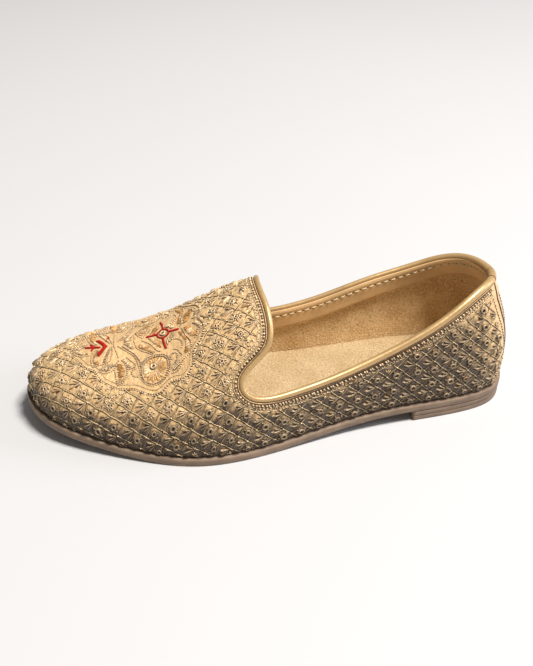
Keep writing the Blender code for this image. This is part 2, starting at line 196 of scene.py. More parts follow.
# Rows of small beads: outlines, stems and scrolls
ROWS = (
    ((29.6, 275.2), (24, 275.6), (19.6, 275.7), (16.4, 274.8), (14.4, 272.8)),
    ((29, 272.4), (26.8, 270), (22, 268.4), (17.4, 269.6)),
    ((18.8, 284.4), (21.2, 280.6), (20.2, 276.9), (17.6, 274.4)),
    ((14.4, 287.4), (9.5, 288.1), (4.9, 286.5), (2.2, 284)),
    ((14.6, 286.4), (14.4, 282.4), (14.4, 279), (12.4, 276.6), (5.4, 275.4), (2, 275)),
    ((1.6, 274), (7, 273.4), (12, 272.6)),
    ((3.4, 271.8), (8.4, 268), (12.2, 264.9), (17, 262.6), (22, 262.1), (28, 260.8), (33, 259.8)),
    ((27.8, 263.6), (27, 265.6), (25.2, 266.8), (23.2, 266.3), (22.4, 264.4)),
    ((21.4, 268.2), (21.8, 265.2), (20.2, 263.6), (17.6, 265.2), (13.6, 267.8)),
    ((1.8, 262.8), (4.4, 262.2), (8.6, 261.9), (11.6, 259), (14, 256), (16.2, 253.6),
     (14.6, 252.2)),
    ((3.4, 258), (6, 255.4), (9.4, 253), (14.2, 251), (15.6, 249.2)),
    ((10.2, 243.6), (10.2, 240.2), (12, 236.9), (15.8, 235.3), (18.6, 236.4)),
    ((32.4, 244), (32.5, 240.4), (30, 238), (27.4, 237.6), (26.4, 235.4), (25.2, 233.2),
     (24.6, 231)),
    ((23.4, 236.8), (21.2, 237.9), (18.8, 238.8), (17.8, 240.8)),
    ((23.6, 243.2), (20.4, 243.8), (20, 240.8), (21.6, 239.2), (24, 239.8)),
    ((23.8, 230.8), (19.4, 230.2), (16.2, 230.6), (15, 231.4), (10.8, 233.2), (5, 234.4)),
    ((16.4, 227.4), (15.4, 225.4), (11.4, 225.8), (10.6, 221.4)),
    ((5.6, 288.6), (5.2, 293.2), (2.6, 296), (0.2, 297.2)),
)
# Flower, and how far it goes toward the axis, the toe, the outside and the heel
FLOWER = SimpleNamespace(x=24.5, y=254.0, petals=19)
FLOWER_REACH = (5.4, 5.8, 9.4, 7.8)
RED_STROKES = (
    # width, then places from end to end in the flat pattern
    (2.3, ((-7.0, 283.4), (-4.2, 281.2), (-0.9, 278.9))),
    (2.3, ((-0.9, 278.9), (2.6, 280.4), (6.0, 282.4))),
    (1.4, ((-0.9, 282.2), (0.2, 285.4), (1.4, 289.6))),
    (0.8, ((3.4, 286.8), (0.3, 285.2), (-2.2, 286.8))),
    (0.6, ((3.8, 278.0), (7.9, 276.4))),
    (1.3, ((-6.8, 246.3), (-10.8, 246.1), (-14.9, 245.5))),
    (1.4, ((-1.9, 249.6), (-1.6, 252.4), (-1.4, 255.2))),
    (1.3, ((-3.2, 241.6), (-3.6, 239.4), (-4.3, 236.8))),
    (1.2, ((1.2, 245.3), (4.8, 245.0), (8.8, 245.6))),
)
RED_RING = SimpleNamespace(x=-2.8, y=245.8, radius=3.4)

# Fans: on the top of the foot or not, leaves as (angle, size), half width, height and length
TOP_FAN = True, ((-31, 0.85), (-11, 1.0), (9, 1.0), (28, 0.85)), 0.62, 1.3, 7.2
WALL_FAN = False, ((-26, 0.9), (-2, 1.0), (21, 0.9)), 0.62, 1.9, 6.6
# Rings: on the top or not, ring as (radius, thread), hook likewise, hooks, reach, dark disc of
# painted shade
TOP_RING = True, (1.0, 0.42), (0.8, 0.36), 7, 2.5, 2.0
WALL_RING = False, (1.5, 0.64), (0.75, 0.36), 4, 3.0, 2.4

# Seam at the back of the heel, where the photograph shows it: height on the wall, and distance
# from the heel's middle round the outer side. A row of pinholes runs on each side of it, and
# behind it a strip of the cloth stays plain.
SEAM_LINE = ((0, 11.0), (25, 13.0), (38, 17.0), (48, 20.5), (58, 22.5), (68, 19.5))
SEAM_STRIP = 5.8
PLAIN_BEHIND = 12.0

# Room that stitching leaves to the collar's edge, the back seam, the sole and the medallion
CORD_ROOM = 5.2, 8.4, 0.4, 0.0
KNOT_ROOM = 5.8, 9.0, 1.0, 0.0
MOTIF_ROOM = 7.4, 11.0, 1.5, 3.0
CRUMB_ROOM = 6.2, 9.6, 1.2, 1.6

# Where the pillows of the cells begin, from the collar's edge and from the seam, and how far
# they take to rise to their full height, there and from the sole
PILLOW_FROM_COLLAR, PILLOW_FROM_SEAM = 3.5, 7
PILLOW_RISE, PILLOW_RISE_SOLE = 3, 4

# Creases worn into the upper: from and to in the flat pattern, half width, depth (a ridge is < 0)
CREASES = (
    (-52, 236, -80, 246, 7, 0.7), (-56, 224, -84, 232, 6, -0.45), (-60, 214, -86, 219, 5.5, 0.6),
    (54, 234, 80, 243, 7, 0.6), (58, 220, 84, 226, 6, 0.45), (-20, 214, 20, 211, 6, 0.35),
    (-62, 150, -88, 172, 8, 0.6), (62, 140, 88, 160, 8, 0.5), (-60, 60, -84, 78, 8, 0.5),
    (60, 66, 86, 88, 8, 0.45), (-40, 286, -58, 268, 6, 0.35),
)


def cubic(values, bend, i, j, h, before, after):
    """Points of a spline between its knots i and j, h apart."""
    y = (bend[i] * before**3 + bend[j] * after**3) / (6 * h)
    y += (values[i] / h - bend[i] * h / 6) * before
    y += (values[j] / h - bend[j] * h / 6) * after
    return y


def natural_spline(knots, values, x):
    """Smooth curve through the rows of a table, straight past its ends."""
    knots, values, x = (np.asarray(a, float) for a in (knots, values, x))
    n = len(knots)
    step = np.diff(knots)
    a = np.eye(n)
    b = np.zeros(n)
    for i in range(1, n - 1):
        a[i, i - 1 : i + 2] = step[i - 1], 2 * (step[i - 1] + step[i]), step[i]
        rise = (values[i + 1] - values[i]) / step[i]
        b[i] = 6 * (rise - (values[i] - values[i - 1]) / step[i - 1])
    bend = np.linalg.solve(a, b)
    first = (values[1] - values[0]) / step[0] - step[0] * bend[1] / 6
    last_slope = (values[-1] - values[-2]) / step[-1] + step[-1] * bend[-2] / 6
    i = np.clip(np.searchsorted(knots, x, side="right") - 1, 0, n - 2)
    y = cubic(values, bend, i, i + 1, step[i], knots[i + 1] - x, x - knots[i])
    y = np.where(x < knots[0], values[0] + first * (x - knots[0]), y)
    return np.where(x > knots[-1], values[-1] + last_slope * (x - knots[-1]), y)


def column(table, k):
    return np.array([row[k] for row in table], float)


def read(table, k, x):
    """Column k of a table at values of its first column, smoothly between its rows."""
    return natural_spline(column(table, 0), column(table, k), x)


def lengths_along(points):
    """Distance of each point of a line from its first one, along the line."""
    return np.r_[0, np.cumsum(np.linalg.norm(np.diff(points, axis=0), axis=1))]


def on_line(points, length, at):
    """Values at some distances along a line whose points lie at the given lengths."""
    return np.stack([np.interp(at, length, values) for values in np.transpose(points)], axis=-1)


def closed_spline(points, count):
    """Points of a smooth closed curve, spaced by the square root of each chord."""
    points = np.asarray(points, float)
    n = len(points)
    chord = np.sqrt(np.linalg.norm(np.roll(points, -1, axis=0) - points, axis=1))
    knots = np.r_[0, np.cumsum(chord)]
    a = np.zeros((n, n))
    b = np.zeros((n, points.shape[1]))
    for i in range(n):
        j = (i + 1) % n
        a[i, i - 1] += chord[i - 1]
        a[i, i] += 2 * (chord[i - 1] + chord[i])
        a[i, j] += chord[i]
        rise = (points[j] - points[i]) / chord[i]
        b[i] = 6 * (rise - (points[i] - points[i - 1]) / chord[i - 1])
    bend = np.linalg.solve(a, b)
    x = np.linspace(0, knots[-1], count, endpoint=False)
    i = np.clip(np.searchsorted(knots, x, side="right") - 1, 0, n - 1)
    h, before, after = (a[:, None] for a in (chord[i], knots[i + 1] - x, x - knots[i]))
    return cubic(points, bend, i, (i + 1) % n, h, before, after)


def outline_sides():
    """For each side: share of its length, points from heel to toe, outward directions, length."""
    y, outer, inner = (column(OUTLINE, k) for k in range(3))
    loop = np.vstack(
        ([[0, 0]], np.c_[-outer, y], [[TIP_X, UPPER_LENGTH]], np.c_[inner, y][::-1])
    )
    curve = closed_spline(loop, OUTLINE_POINTS)
    curve = np.roll(curve, -int(np.argmin(curve[:, 1])), axis=0)
    tip = int(np.argmax(curve[:, 1]))
    sides = {}
    for side, points in (
        (OUTER, curve[: tip + 1]),
        (INNER, np.vstack((curve[tip:], curve[:1]))[::-1]),
    ):
        along = np.gradient(points, axis=0)
        along[0] = side, 0
        along[-1] = -side, 0
        along /= np.linalg.norm(along, axis=1)[:, None]
        length = lengths_along(points)
        away = np.c_[along[:, 1], -along[:, 0]] * side
        sides[side] = length / length[-1], points, away, length[-1]
    return sides


SIDES = outline_sides()


def outline(side, share, offset=0.0):
    shares, points, away, _ = SIDES[side]
    moved = points + offset * away
    return np.interp(share, shares, moved[:, 0]), np.interp(share, shares, moved[:, 1])


def under(y):
    """Height of the underside of the outsole: heel seat, shank, flat tread and toe spring."""
    down = np.clip((SHANK_END_Y - y) / (SHANK_END_Y - BREAST_Y), 0, 1)
    toe = np.clip((y - TREAD_END_Y) / (UPPER_LENGTH - TREAD_END_Y), 0, 2)
    return SEAT_HEIGHT * down * down * (3 - 2 * down) + TOE_SPRING * toe**TOE_SPRING_POWER


def ridge(y):
    return read(RIDGE, 1, y)


def section_handles(side, share):
    """Centre, direction, radii and heights of the four handles of a section."""
    x, y = outline(side, share)
    foot = under(y) + SOLE_THICKNESS + GAP
    top_x, top_y = (read(SPINE, k, share) for k in (1, 2))
    top = ridge(top_y)
    radius = np.hypot(x - top_x, y - top_y)
    ux, uy = (x - top_x) / radius, (y - top_y) / radius
    rise, swell, reach = (read(SECTIONS, k, share) for k in (1, 2, 3))
    slope = ridge(top_y + 0.5) - ridge(top_y - 0.5)
    radii = radius, radius + swell, radius * reach, 0 * radius
    heights = foot, foot + rise, top + slope * uy * radius * reach, top
    return (top_x, top_y), (ux, uy), radii, heights


def bezier(handles, b):
    weights = (1 - b) ** 3, 3 * b * (1 - b) ** 2, 3 * b * b * (1 - b), b**3
    (x, y), (ux, uy), radii, heights = handles
    r = sum(w * radius for w, radius in zip(weights, radii))
    z = sum(w * height for w, height in zip(weights, heights))
    return np.array((x + ux * r, y + uy * r, z))


def section_lengths(handles):
    """Length of each section from the sole up, at even steps of its curve."""
    wide = tuple(tuple(np.asarray(a)[:, None] for a in group) for group in handles)
    steps = np.linspace(0, 1, SECTION_STEPS)
    chords = np.linalg.norm(np.diff(bezier(wide, steps[None]), axis=2), axis=0)
    return steps, np.cumsum(np.c_[np.zeros(len(chords)), chords], axis=1)


def last(side, along, up):
    """Points of the outside of the upper: along from heel to toe, up from the sole to the top
    line, each as a share. The first axis of the result is x, y, z."""
    along, up = np.broadcast_arrays(np.asarray(along, float), np.asarray(up, float))
    shape, along, up = along.shape, along.ravel(), up.ravel()
    handles = section_handles(side, along)
    steps, length = section_lengths(handles)
    wanted = up * length[:, -1]
    k = np.arange(len(along))
    i = np.clip((length < wanted[:, None]).sum(axis=1) - 1, 0, SECTION_STEPS - 2)
    part = (wanted - length[k, i]) / (length[k, i + 1] - length[k, i])
    return bezier(handles, steps[i] + part * steps[1]).reshape(3, *shape)


def slopes(side, along, up):
    """Directions of growing along and up, per share."""
    a0, a1 = np.clip(along - SMALL_SHARE, 0, 1), np.clip(along + SMALL_SHARE, 0, 1)
    u0, u1 = np.clip(up - SMALL_SHARE, 0, 1), np.clip(up + SMALL_SHARE, 0, 1)
    return (
        (last(side, a1, up) - last(side, a0, up)) / (a1 - a0),
        (last(side, along, u1) - last(side, along, u0)) / (u1 - u0),
    )


def unit(vectors):
    return vectors / np.linalg.norm(vectors, axis=0)


def outward(side, along, up):
    """Direction out of the skin, taken a little aside of the top line, where sections meet."""
    da, du = slopes(side, along, np.clip(up, 0, ASIDE))
    return unit(np.cross(du, da, axis=0)) * -side


def walk(side, along, up, direction, distance):
    """Moves points over the surface, starting in a given direction."""
    pace = distance / WALK_STEPS
    for _ in range(WALK_STEPS):
        da, du = slopes(side, along, up)
        normal = unit(np.cross(da, du, axis=0))
        direction = unit(direction - (direction * normal).sum(axis=0) * normal)
        aa, au, uu = (da * da).sum(axis=0), (da * du).sum(axis=0), (du * du).sum(axis=0)
        pa, pu = (direction * da).sum(axis=0), (direction * du).sum(axis=0)
        det = aa * uu - au * au
        along = np.clip(along + pace * (pa * uu - pu * au) / det, 0, 1)
        up = np.clip(up + pace * (pu * aa - pa * au) / det, 0, 1)
    return along, up


def edge_curve(side, count):
    """Shares along and up at points of the upper's edge, from the heel to the tongue's peak."""
    along, up = column(EDGE, 0), column(EDGE, 1 if side == OUTER else 2)
    along = np.r_[-along[2:0:-1], along, along[-2:-4:-1]]
    up = np.r_[up[2:0:-1], up, 2 - up[-2:-4:-1]]
    chord = np.sqrt(np.hypot(np.diff(along) * HALF_ROUND, np.diff(up) * GIRTH))
    knots = np.r_[0, np.cumsum(chord)]
    x = np.linspace(knots[2], knots[-3], count)
    along, up = natural_spline(knots, along, x), natural_spline(knots, up, x)
    along[0] = 0
    up[-1] = 1
    return along, np.minimum(up, 1)


def upper_shares(side, columns, rows, low=0.0, high=1.0):
    """Shares along and up at a grid over the upper: columns from heel to toe, rows upward."""
    peak = round(EDGE_SHARE * columns)
    along, up = edge_curve(side, peak + 1)
    front = np.linspace(along[-1], 1, columns - peak + 1)[1:]
    along, up = np.r_[along, front], np.r_[up, np.ones(len(front))]
    k = np.arange(columns + 1)
    corner = int(np.argmax(along[: peak + 1]))
    upright = int(np.searchsorted(along[: corner + 1], UPRIGHT_UNTIL)) - 1
    knots = upright - 1, upright, corner, peak, columns
    feet = along[upright - 1], along[upright], FOOT_OF_CORNER, FOOT_OF_PEAK, 1
    foot = np.where(k < upright, along, natural_spline(knots, feet, k))
    w = np.linspace(low, high, rows + 1)
    past = np.clip((k - peak) / (PAST_SHARE * columns), 0, 1)[:, None]
    turn = (1 - past) * w**RULE_POWER + past * w * w * (3 - 2 * w)
    grid = np.clip(foot[:, None] + (along - foot)[:, None] * turn, 0, 1)
    return grid, np.minimum(up[:, None] * w, 1)


def on_skin(sides, shares):
    """Places and outward directions of points given by their side and shares."""
    places, normals = np.zeros((3, len(sides))), np.zeros((3, len(sides)))
    for side in (OUTER, INNER):
        mine = sides == side
        places[:, mine] = last(side, *shares[:, mine])
        normals[:, mine] = outward(side, *shares[:, mine])
    return places, normals


@cache
def edge_loop(count=EDGE_POINTS):
    """Loop of the upper's edge round the whole opening, count points a side: side, shares,
    place, direction out of the edge, direction out of the shoe and direction along."""
    sides, shares = [], []
    for side in (OUTER, INNER):
        along, up = edge_curve(side, count + 1)
        order = slice(0, -1) if side == OUTER else slice(None, 0, -1)
        sides.append(np.full(count, side))
        shares.append(np.array((along, up))[:, order])
    sides, shares = np.concatenate(sides), np.hstack(shares)
    places, normals = on_skin(sides, shares)
    for end in (0, count):
        normals[:, end] += outward(-sides[end], *shares[:, end : end + 1])[:, 0]
    normals = unit(normals)
    tangent = unit(np.roll(places, -1, axis=1) - np.roll(places, 1, axis=1))
    normals = unit(normals - (normals * tangent).sum(axis=0) * tangent)
    return SimpleNamespace(
        sides=sides,
        shares=shares,
        places=places,
        out=np.cross(tangent, normals, axis=0),
        normals=normals,
        tangent=tangent,
    )


def inward_line(loop, distance, depth=0.0):
    """Places and normals on the upper's skin at a distance inward from its edge, moved toward
    the inside of the shoe by a depth."""
    shares = np.zeros_like(loop.shares)
    for side in (OUTER, INNER):
        mine = loop.sides == side
        shares[:, mine] = walk(side, *loop.shares[:, mine], -loop.out[:, mine], distance)
    place, normal = on_skin(loop.sides, shares)
    return place - normal * depth, normal


# Flat pattern of the cloth


def smooth_step(t):
    t = np.clip(t, 0, 1)
    return t * t * (3 - 2 * t)


def bell(t, middle, half):
    """1 at the middle, next to nothing at twice the half width from it."""
    return np.exp(-(((t - middle) / half) ** 2))


@cache
def ridge_arcs():
    y = np.linspace(-20, 300, 3201)
    return y, np.r_[0, np.cumsum(np.hypot(np.diff(y), np.diff(ridge(y))))]


def vamp_pattern(side, along, up):
    """Flat place of points of the vamp, unfolded from the line over the top of the foot."""
    handles = section_handles(side, along)
    (_, top_y), (ux, uy), _, _ = handles
    far = (1 - up) * section_lengths(handles)[1][:, -1]
    return ux * far, np.interp(top_y, *ridge_arcs()) + uy * far


@cache
def wall_start(side):
    along, up = np.array([MEET_ALONG]), np.array([MEET_UP])
    x, y = vamp_pattern(side, along, up)
    girth = section_lengths(section_handles(side, along))[1][0, -1]
    return abs(x[0]) + MEET_UP * girth, y[0] - MEET_ALONG * SIDES[side][3]


def wall_place(side, along, height):
    """Flat place of points of a wall, at millimetres along the sole and up from it."""
    across, start = wall_start(side)
    return side * (ROW_X - (ROW_X - across + height) * ROW_PULL), start + along


def seam_line(height):
    return np.interp(height, *np.transpose(SEAM_LINE))


def flat_place(side, along, up, cut=True):
    """Flat place of points of the upper: the walls unroll along the sole, the vamp unfolds. The
    cloth is cut at the back seam: as far as that the inner wall's pattern goes on."""
    shape, along, up = along.shape, along.ravel(), up.ravel()
    height = up * section_lengths(section_handles(side, along))[1][:, -1]
    length = along * SIDES[side][3]
    x, y = wall_place(side, length, height)
    vamp_x, vamp_y = vamp_pattern(side, along, up)
    w = smooth_step((along - BLEND_FROM) / (BLEND_TO - BLEND_FROM))
    flat = np.array((x + w * (vamp_x - x), y + w * (vamp_y - y)))
    if cut and side == OUTER:
        flat = np.where(length < seam_line(height), wall_place(INNER, -length, height), flat)
    return flat.reshape(2, *shape)


def creased(x, y, collar, sole):
    """How far the worn creases move the skin outward at flat places: less and less toward the
    collar and the sole."""
    moved = np.zeros(np.shape(x))
    for x0, y0, x1, y1, half, depth in CREASES:
        length = math.hypot(x1 - x0, y1 - y0)
        ux, uy = (x1 - x0) / length, (y1 - y0) / length
        along = (x - x0) * ux + (y - y0) * uy
        across = (y - y0) * ux - (x - x0) * uy
        ends = smooth_step(along / length * 3 + 0.5) * smooth_step((1 - along / length) * 3 + 0.5)
        moved = moved - depth * ends * np.exp(-((across / half) ** 2) * 2)
    return moved * (smooth_step(collar / CALM_COLLAR) * smooth_step(sole / CALM_SOLE))


# Tables over the flat pattern: step and limits, the grid they are read from, which goes a little
# past the sole and the collar, and how many columns of it go on past the back seam
CLOTH_STEP = 0.8
CLOTH_X, CLOTH_Y = (-116.0, 112.0), (-36.0, 346.0)
CLOTH_COLUMNS, CLOTH_ROWS = 200, 56
CLOTH_UP = -0.06, 1.05
SEAM_COLUMNS = 25
CALM_COLLAR, CALM_SOLE = 14, 10


@cache
def cloth():
    """Tables over the flat pattern: place and normal of the skin, distance from the collar's
    edge and from the sole, and whether the pattern holds that point at all."""
    flat, place, normal, collar, sole = [], [], [], [], []
    triangles, start = [], 0
    edge = edge_loop(260).places.T
    for side, past_heel in ((OUTER, False), (INNER, False), (OUTER, True)):
        along, up = upper_shares(side, CLOTH_COLUMNS, CLOTH_ROWS, *CLOTH_UP)
        if past_heel:
            along, up = along[:SEAM_COLUMNS], up[:SEAM_COLUMNS]
        points = last(side, along, up).reshape(3, -1).T
        apart = (points**2).sum(1)[:, None] + (edge**2).sum(1) - 2 * points @ edge.T
        away = np.sqrt(np.maximum(apart.min(axis=1), 0)).reshape(along.shape)
        rows = np.linspace(*CLOTH_UP, CLOTH_ROWS + 1)
        open_top = (np.arange(len(along)) < round(EDGE_SHARE * CLOTH_COLUMNS))[:, None]
        away = np.where((rows > 1) & open_top, -away, away)
        girth = section_lengths(section_handles(side, along.ravel()))[1][:, -1]
        flat.append(flat_place(side, along, up, cut=False).reshape(2, -1).T)
        if past_heel:
            length, height = along.ravel() * SIDES[side][3], up.ravel() * girth
            flat[-1] = np.stack(wall_place(INNER, -length, height), axis=1)
        normal.append(outward(side, along, up).reshape(3, -1).T)
        collar.append(away.ravel())
        sole.append(up.ravel() * girth)
        moved = creased(*flat[-1].T, collar[-1], sole[-1])
        place.append(points + normal[-1] * moved[:, None])
        n = np.arange(along.size).reshape(along.shape) + start
        a, b, c, d = n[:-1, :-1], n[1:, :-1], n[1:, 1:], n[:-1, 1:]
        for three in ((a, b, c), (a, c, d)):
            triangles.append(np.stack([t.ravel() for t in three], axis=1))
        start += along.size
    flat, place, normal = (np.vstack(t) for t in (flat, place, normal))
    values = np.c_[place, normal, np.concatenate(collar), np.concatenate(sole)]
    triangles = np.vstack(triangles)
    tree = BVHTree.FromPolygons(np.c_[flat, 0 * flat[:, 0]].tolist(), triangles.tolist())
    xs = np.arange(*CLOTH_X, CLOTH_STEP)
    ys = np.arange(*CLOTH_Y, CLOTH_STEP)
    table = np.zeros((len(xs), len(ys), 9))
    hits, places = [], []
    for i, x in enumerate(xs):
        for j, y in enumerate(ys):
            found, _, index, _ = tree.find_nearest((x, y, 0), 0.5)
            if found is not None:
                hits.append((i, j, index))
                places.append((found[0], found[1]))
    hits, places = np.array(hits), np.array(places)
    t = triangles[hits[:, 2]]
    p, q, r = flat[t[:, 0]], flat[t[:, 1]], flat[t[:, 2]]
    area = cross2(q - p, r - p)
    area = np.where(abs(area) < TINY, TINY, area)
    v = np.clip(cross2(places - p, r - p) / area, 0, 1)
    w = np.clip(cross2(q - p, places - p) / area, 0, 1)
    mixed = values[t[:, 0]] + v[:, None] * (values[t[:, 1]] - values[t[:, 0]])
    mixed += w[:, None] * (values[t[:, 2]] - values[t[:, 0]])
    table[hits[:, 0], hits[:, 1], :8] = mixed
    table[hits[:, 0], hits[:, 1], 8] = 1
    return table


def cross2(a, b):
    return a[..., 0] * b[..., 1] - a[..., 1] * b[..., 0]


def sample(x, y):
    """Values of the cloth's tables at flat places: place, normal, collar, sole, held."""
    table = cloth()
    i = np.clip((x - CLOTH_X[0]) / CLOTH_STEP, 0, table.shape[0] - 1.001)
    j = np.clip((y - CLOTH_Y[0]) / CLOTH_STEP, 0, table.shape[1] - 1.001)
    i0, j0 = i.astype(int), j.astype(int)
    u, v = (i - i0)[..., None], (j - j0)[..., None]
    corners = table[i0, j0], table[i0 + 1, j0], table[i0, j0 + 1], table[i0 + 1, j0 + 1]
    weights = (1 - u) * (1 - v), u * (1 - v), (1 - u) * v, u * v
    held = [w * c[..., 8:] for w, c in zip(weights, corners)]
    total = sum(held)
    value = sum(h * c for h, c in zip(held, corners)) / np.maximum(total, TINY)
    normal = value[..., 3:6]
    return SimpleNamespace(
        place=value[..., :3],
        normal=normal / np.maximum(np.linalg.norm(normal, axis=-1), TINY)[..., None],
        collar=value[..., 6],
        sole=value[..., 7],
        held=total[..., 0] > 0.4,
    )


def lay(x, y, height):
    """Places on the shoe of flat points at a height over the cloth."""
    spot = sample(x, y)
    return spot.place + spot.normal * height[..., None]


# Meshes

PATTERN = "pattern"


def finished(name, mesh, materials, replaces=()):
    for made in materials:
        mesh.materials.append(made)
    obj = bpy.data.objects.new(name, mesh)
    bpy.context.scene.collection.objects.link(obj)
    mesh.shade_smooth()
    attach(obj, BODY)
    if replaces:
        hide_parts(*replaces)


def to_metres(points):
    return (np.asarray(points) - (0, HEEL_MIDDLE_Y, 0)) * MM


def add_sheet(bm, columns, rows, place, material=0, note=None):
    """Adds a grid of columns by rows faces whose corners go where place(i, j) says for their
    column and row, and writes what note(i, j) says of each corner on it."""
    made = bmesh.ops.create_grid(bm, x_segments=columns, y_segments=rows, size=0.5)["verts"]
    at = np.array([v.co for v in made])[:, :2] + 0.5
    i, j = np.rint(at * (columns, rows)).astype(int).T
    for vert, point in zip(made, to_metres(place(i, j))):
        vert.co = point
    for face in {f for v in made for f in v.link_faces}:
        face.material_index = material
    if note:
        layer = bm.verts.layers.float_vector[PATTERN]
        for vert, value in zip(made, note(i, j)):
            vert[layer] = value


def plain_mesh(name, bm):
    mesh = bpy.data.meshes.new(name)
    bm.to_mesh(mesh)
    bm.free()
    return mesh


def solid(name, bm, materials, node):
    """A closed piece that stands for a node of the CAD frame."""
    bmesh.ops.remove_doubles(bm, verts=bm.verts, dist=0.002 * MM)
    bmesh.ops.recalc_face_normals(bm, faces=bm.faces)
    finished(name, plain_mesh(name, bm), materials, (node,))


def shape_of(bm):
    """A small shape's corners in millimetres and its faces, to be repeated."""
    bm.verts.index_update()
    points = np.array([v.co for v in bm.verts])
    faces = [[v.index for v in f.verts] for f in bm.faces]
    bm.free()
    return points, faces


def joined(name, groups):
    """One mesh of many copies. Each group is (copies x corners x 3 in mm, faces of one copy)."""
    points, faces, start = [], [], 0
    for copies, shape_faces in groups:
        count, corners = copies.shape[:2]
        points.append(copies.reshape(-1, 3))
        for n in sorted({len(f) for f in shape_faces}):
            one = np.array([f for f in shape_faces if len(f) == n])
            many = one[None] + (np.arange(count) * corners)[:, None, None] + start
            faces.extend(many.reshape(-1, n).tolist())
        start += count * corners
    mesh = bpy.data.meshes.new(name)
    mesh.from_pydata(to_metres(np.vstack(points)).tolist(), [], faces)
    mesh.update()
    return mesh


def on_cloth(shape, x, y, angle, size=1.0, stretch=1.0, lift=0.0, puffed=False):
    """Copies of a shape on the cloth at flat places, turned, sized and drawn out along it. Puffed
    ones lie on the pillows of the lattice's cells."""
    points, faces = shape
    given = (np.asarray(a, float) for a in (x, y, angle, size, stretch, lift))
    x, y, angle, size, stretch, lift = (a[..., None] for a in np.broadcast_arrays(*given))
    c, s = np.cos(angle), np.sin(angle)
    px, py = points[:, 0] * size, points[:, 1] * size * stretch
    fx, fy = x + px * c - py * s, y + px * s + py * c
    height = points[:, 2] * size + lift
    if puffed:
        height = height + pillow_height(fx, fy) * calm_share(fx, fy)
    return lay(fx, fy, height), faces


def tubes(name, lines, radius):
    """Round cords along lines of places on the shoe, in millimetres, as one mesh."""
    curve = bpy.data.curves.new(name, "CURVE")
    curve.dimensions = "3D"
    curve.bevel_depth = radius * MM
    curve.bevel_resolution = 1
    curve.use_fill_caps = True
    for line in lines:
        spline = curve.splines.new("POLY")
        spline.points.add(len(line) - 1)
        points = np.c_[to_metres(line), np.ones(len(line))]
        spline.points.foreach_set("co", points.ravel())
    holder = bpy.data.objects.new(name + "_lines", curve)
    mesh = bpy.data.meshes.new_from_object(holder)
    bpy.data.objects.remove(holder)
    bpy.data.curves.remove(curve)
    mesh.name = name
    return mesh


def sewn(name, groups, thread):
    """A piece of many small stitches on the upper."""
    finished(name, joined(name, groups), (thread,))


def laid(name, lines, radius, made):
    """A piece of round cords."""
    finished(name, tubes(name, lines, radius), (made,))


def resampled(points, step, closed=False):
    points = np.asarray(points, float)
    if closed:
        points = np.vstack((points, points[:1]))
    length = lengths_along(points)
    at = np.linspace(0, length[-1], max(2, round(length[-1] / step) + 1))
    out = on_line(points, length, at)
    return out[:-1] if closed else out


def rounded(points, times=2, closed=False):
    """Cuts the corners of a line, which softens its turns."""
    points = np.asarray(points, float)
    for _ in range(times):
        after = np.roll(points, -1, axis=0) if closed else points[1:]
        now = points if closed else points[:-1]
        cut = np.stack((0.75 * now + 0.25 * after, 0.25 * now + 0.75 * after), axis=1)
        cut = cut.reshape(-1, points.shape[1])
        points = cut if closed else np.vstack((points[:1], cut, points[-1:]))
    return points


def headings(line, closed=False):
    if closed:
        d = np.roll(line, -1, axis=0) - np.roll(line, 1, axis=0)
    else:
        d = np.gradient(line, axis=0)
    return np.arctan2(d[:, 1], d[:, 0])


def even_turns(count):
    return np.linspace(0, 2 * math.pi, count, endpoint=False)


def round_about(centre, radius, way):
    return centre[0] + radius * np.cos(way), centre[1] + radius * np.sin(way)


def inside(polygon, x, y):
    held = np.zeros(np.shape(x), bool)
    for (x0, y0), (x1, y1) in zip(polygon, np.roll(polygon, -1, axis=0)):
        if y0 != y1:
            crosses = (y0 > y) != (y1 > y)
            held ^= crosses & (x < (x1 - x0) * (y - y0) / (y1 - y0) + x0)
    return held


# Small shapes, in millimetres, lying along +y with their foot on the cloth


def spike_shape(length, wide, high):
    """A tapered satin-stitched leaf: narrow at its foot, round and high at its far end."""
    bm = bmesh.new()
    made = bmesh.ops.create_grid(bm, x_segments=4, y_segments=7, size=0.5)["verts"]
    for v in made:
        across, t = v.co.x * 2, v.co.y + 0.5
        end = math.sqrt(max(0.0, 1 - max(0.0, (t - 0.72) / 0.28) ** 2))
        half = (0.26 + (wide - 0.26) * t**0.8) * max(end, 0.08)
        body = (0.45 + 0.55 * t) * end * high
        v.co = (across * half, 0.3 + length * t, body * (1 - abs(across) ** 2.2) - 0.1)
    return shape_of(bm)


def wedge_shape():
    """A low dark fan under the leaves: painted shade in the gaps between them."""
    near, far, half_angle = 0.5, 4.9, 0.62
    bm = bmesh.new()
    made = bmesh.ops.create_grid(bm, x_segments=6, y_segments=5, size=0.5)["verts"]
    for v in made:
        turn, t = v.co.x * 2 * half_angle, v.co.y + 0.5
        r = near + (far - near) * t * (1 - 0.15 * (2 * v.co.x) ** 2)
        rim = min(1.0, 8 * (0.5 - abs(v.co.x)), 8 * t, 8 * (1 - t))
        v.co = (math.sin(turn) * r, math.cos(turn) * r, -0.1 + 0.26 * max(rim, 0))
    return shape_of(bm)


def bead_shape(length, wide, high):
    bm = bmesh.new()
    bmesh.ops.create_uvsphere(bm, u_segments=7, v_segments=5, radius=1)
    for v in bm.verts:
        v.co = (v.co.x * wide, v.co.y * length / 2, v.co.z * high + high * 0.3)
    return shape_of(bm)


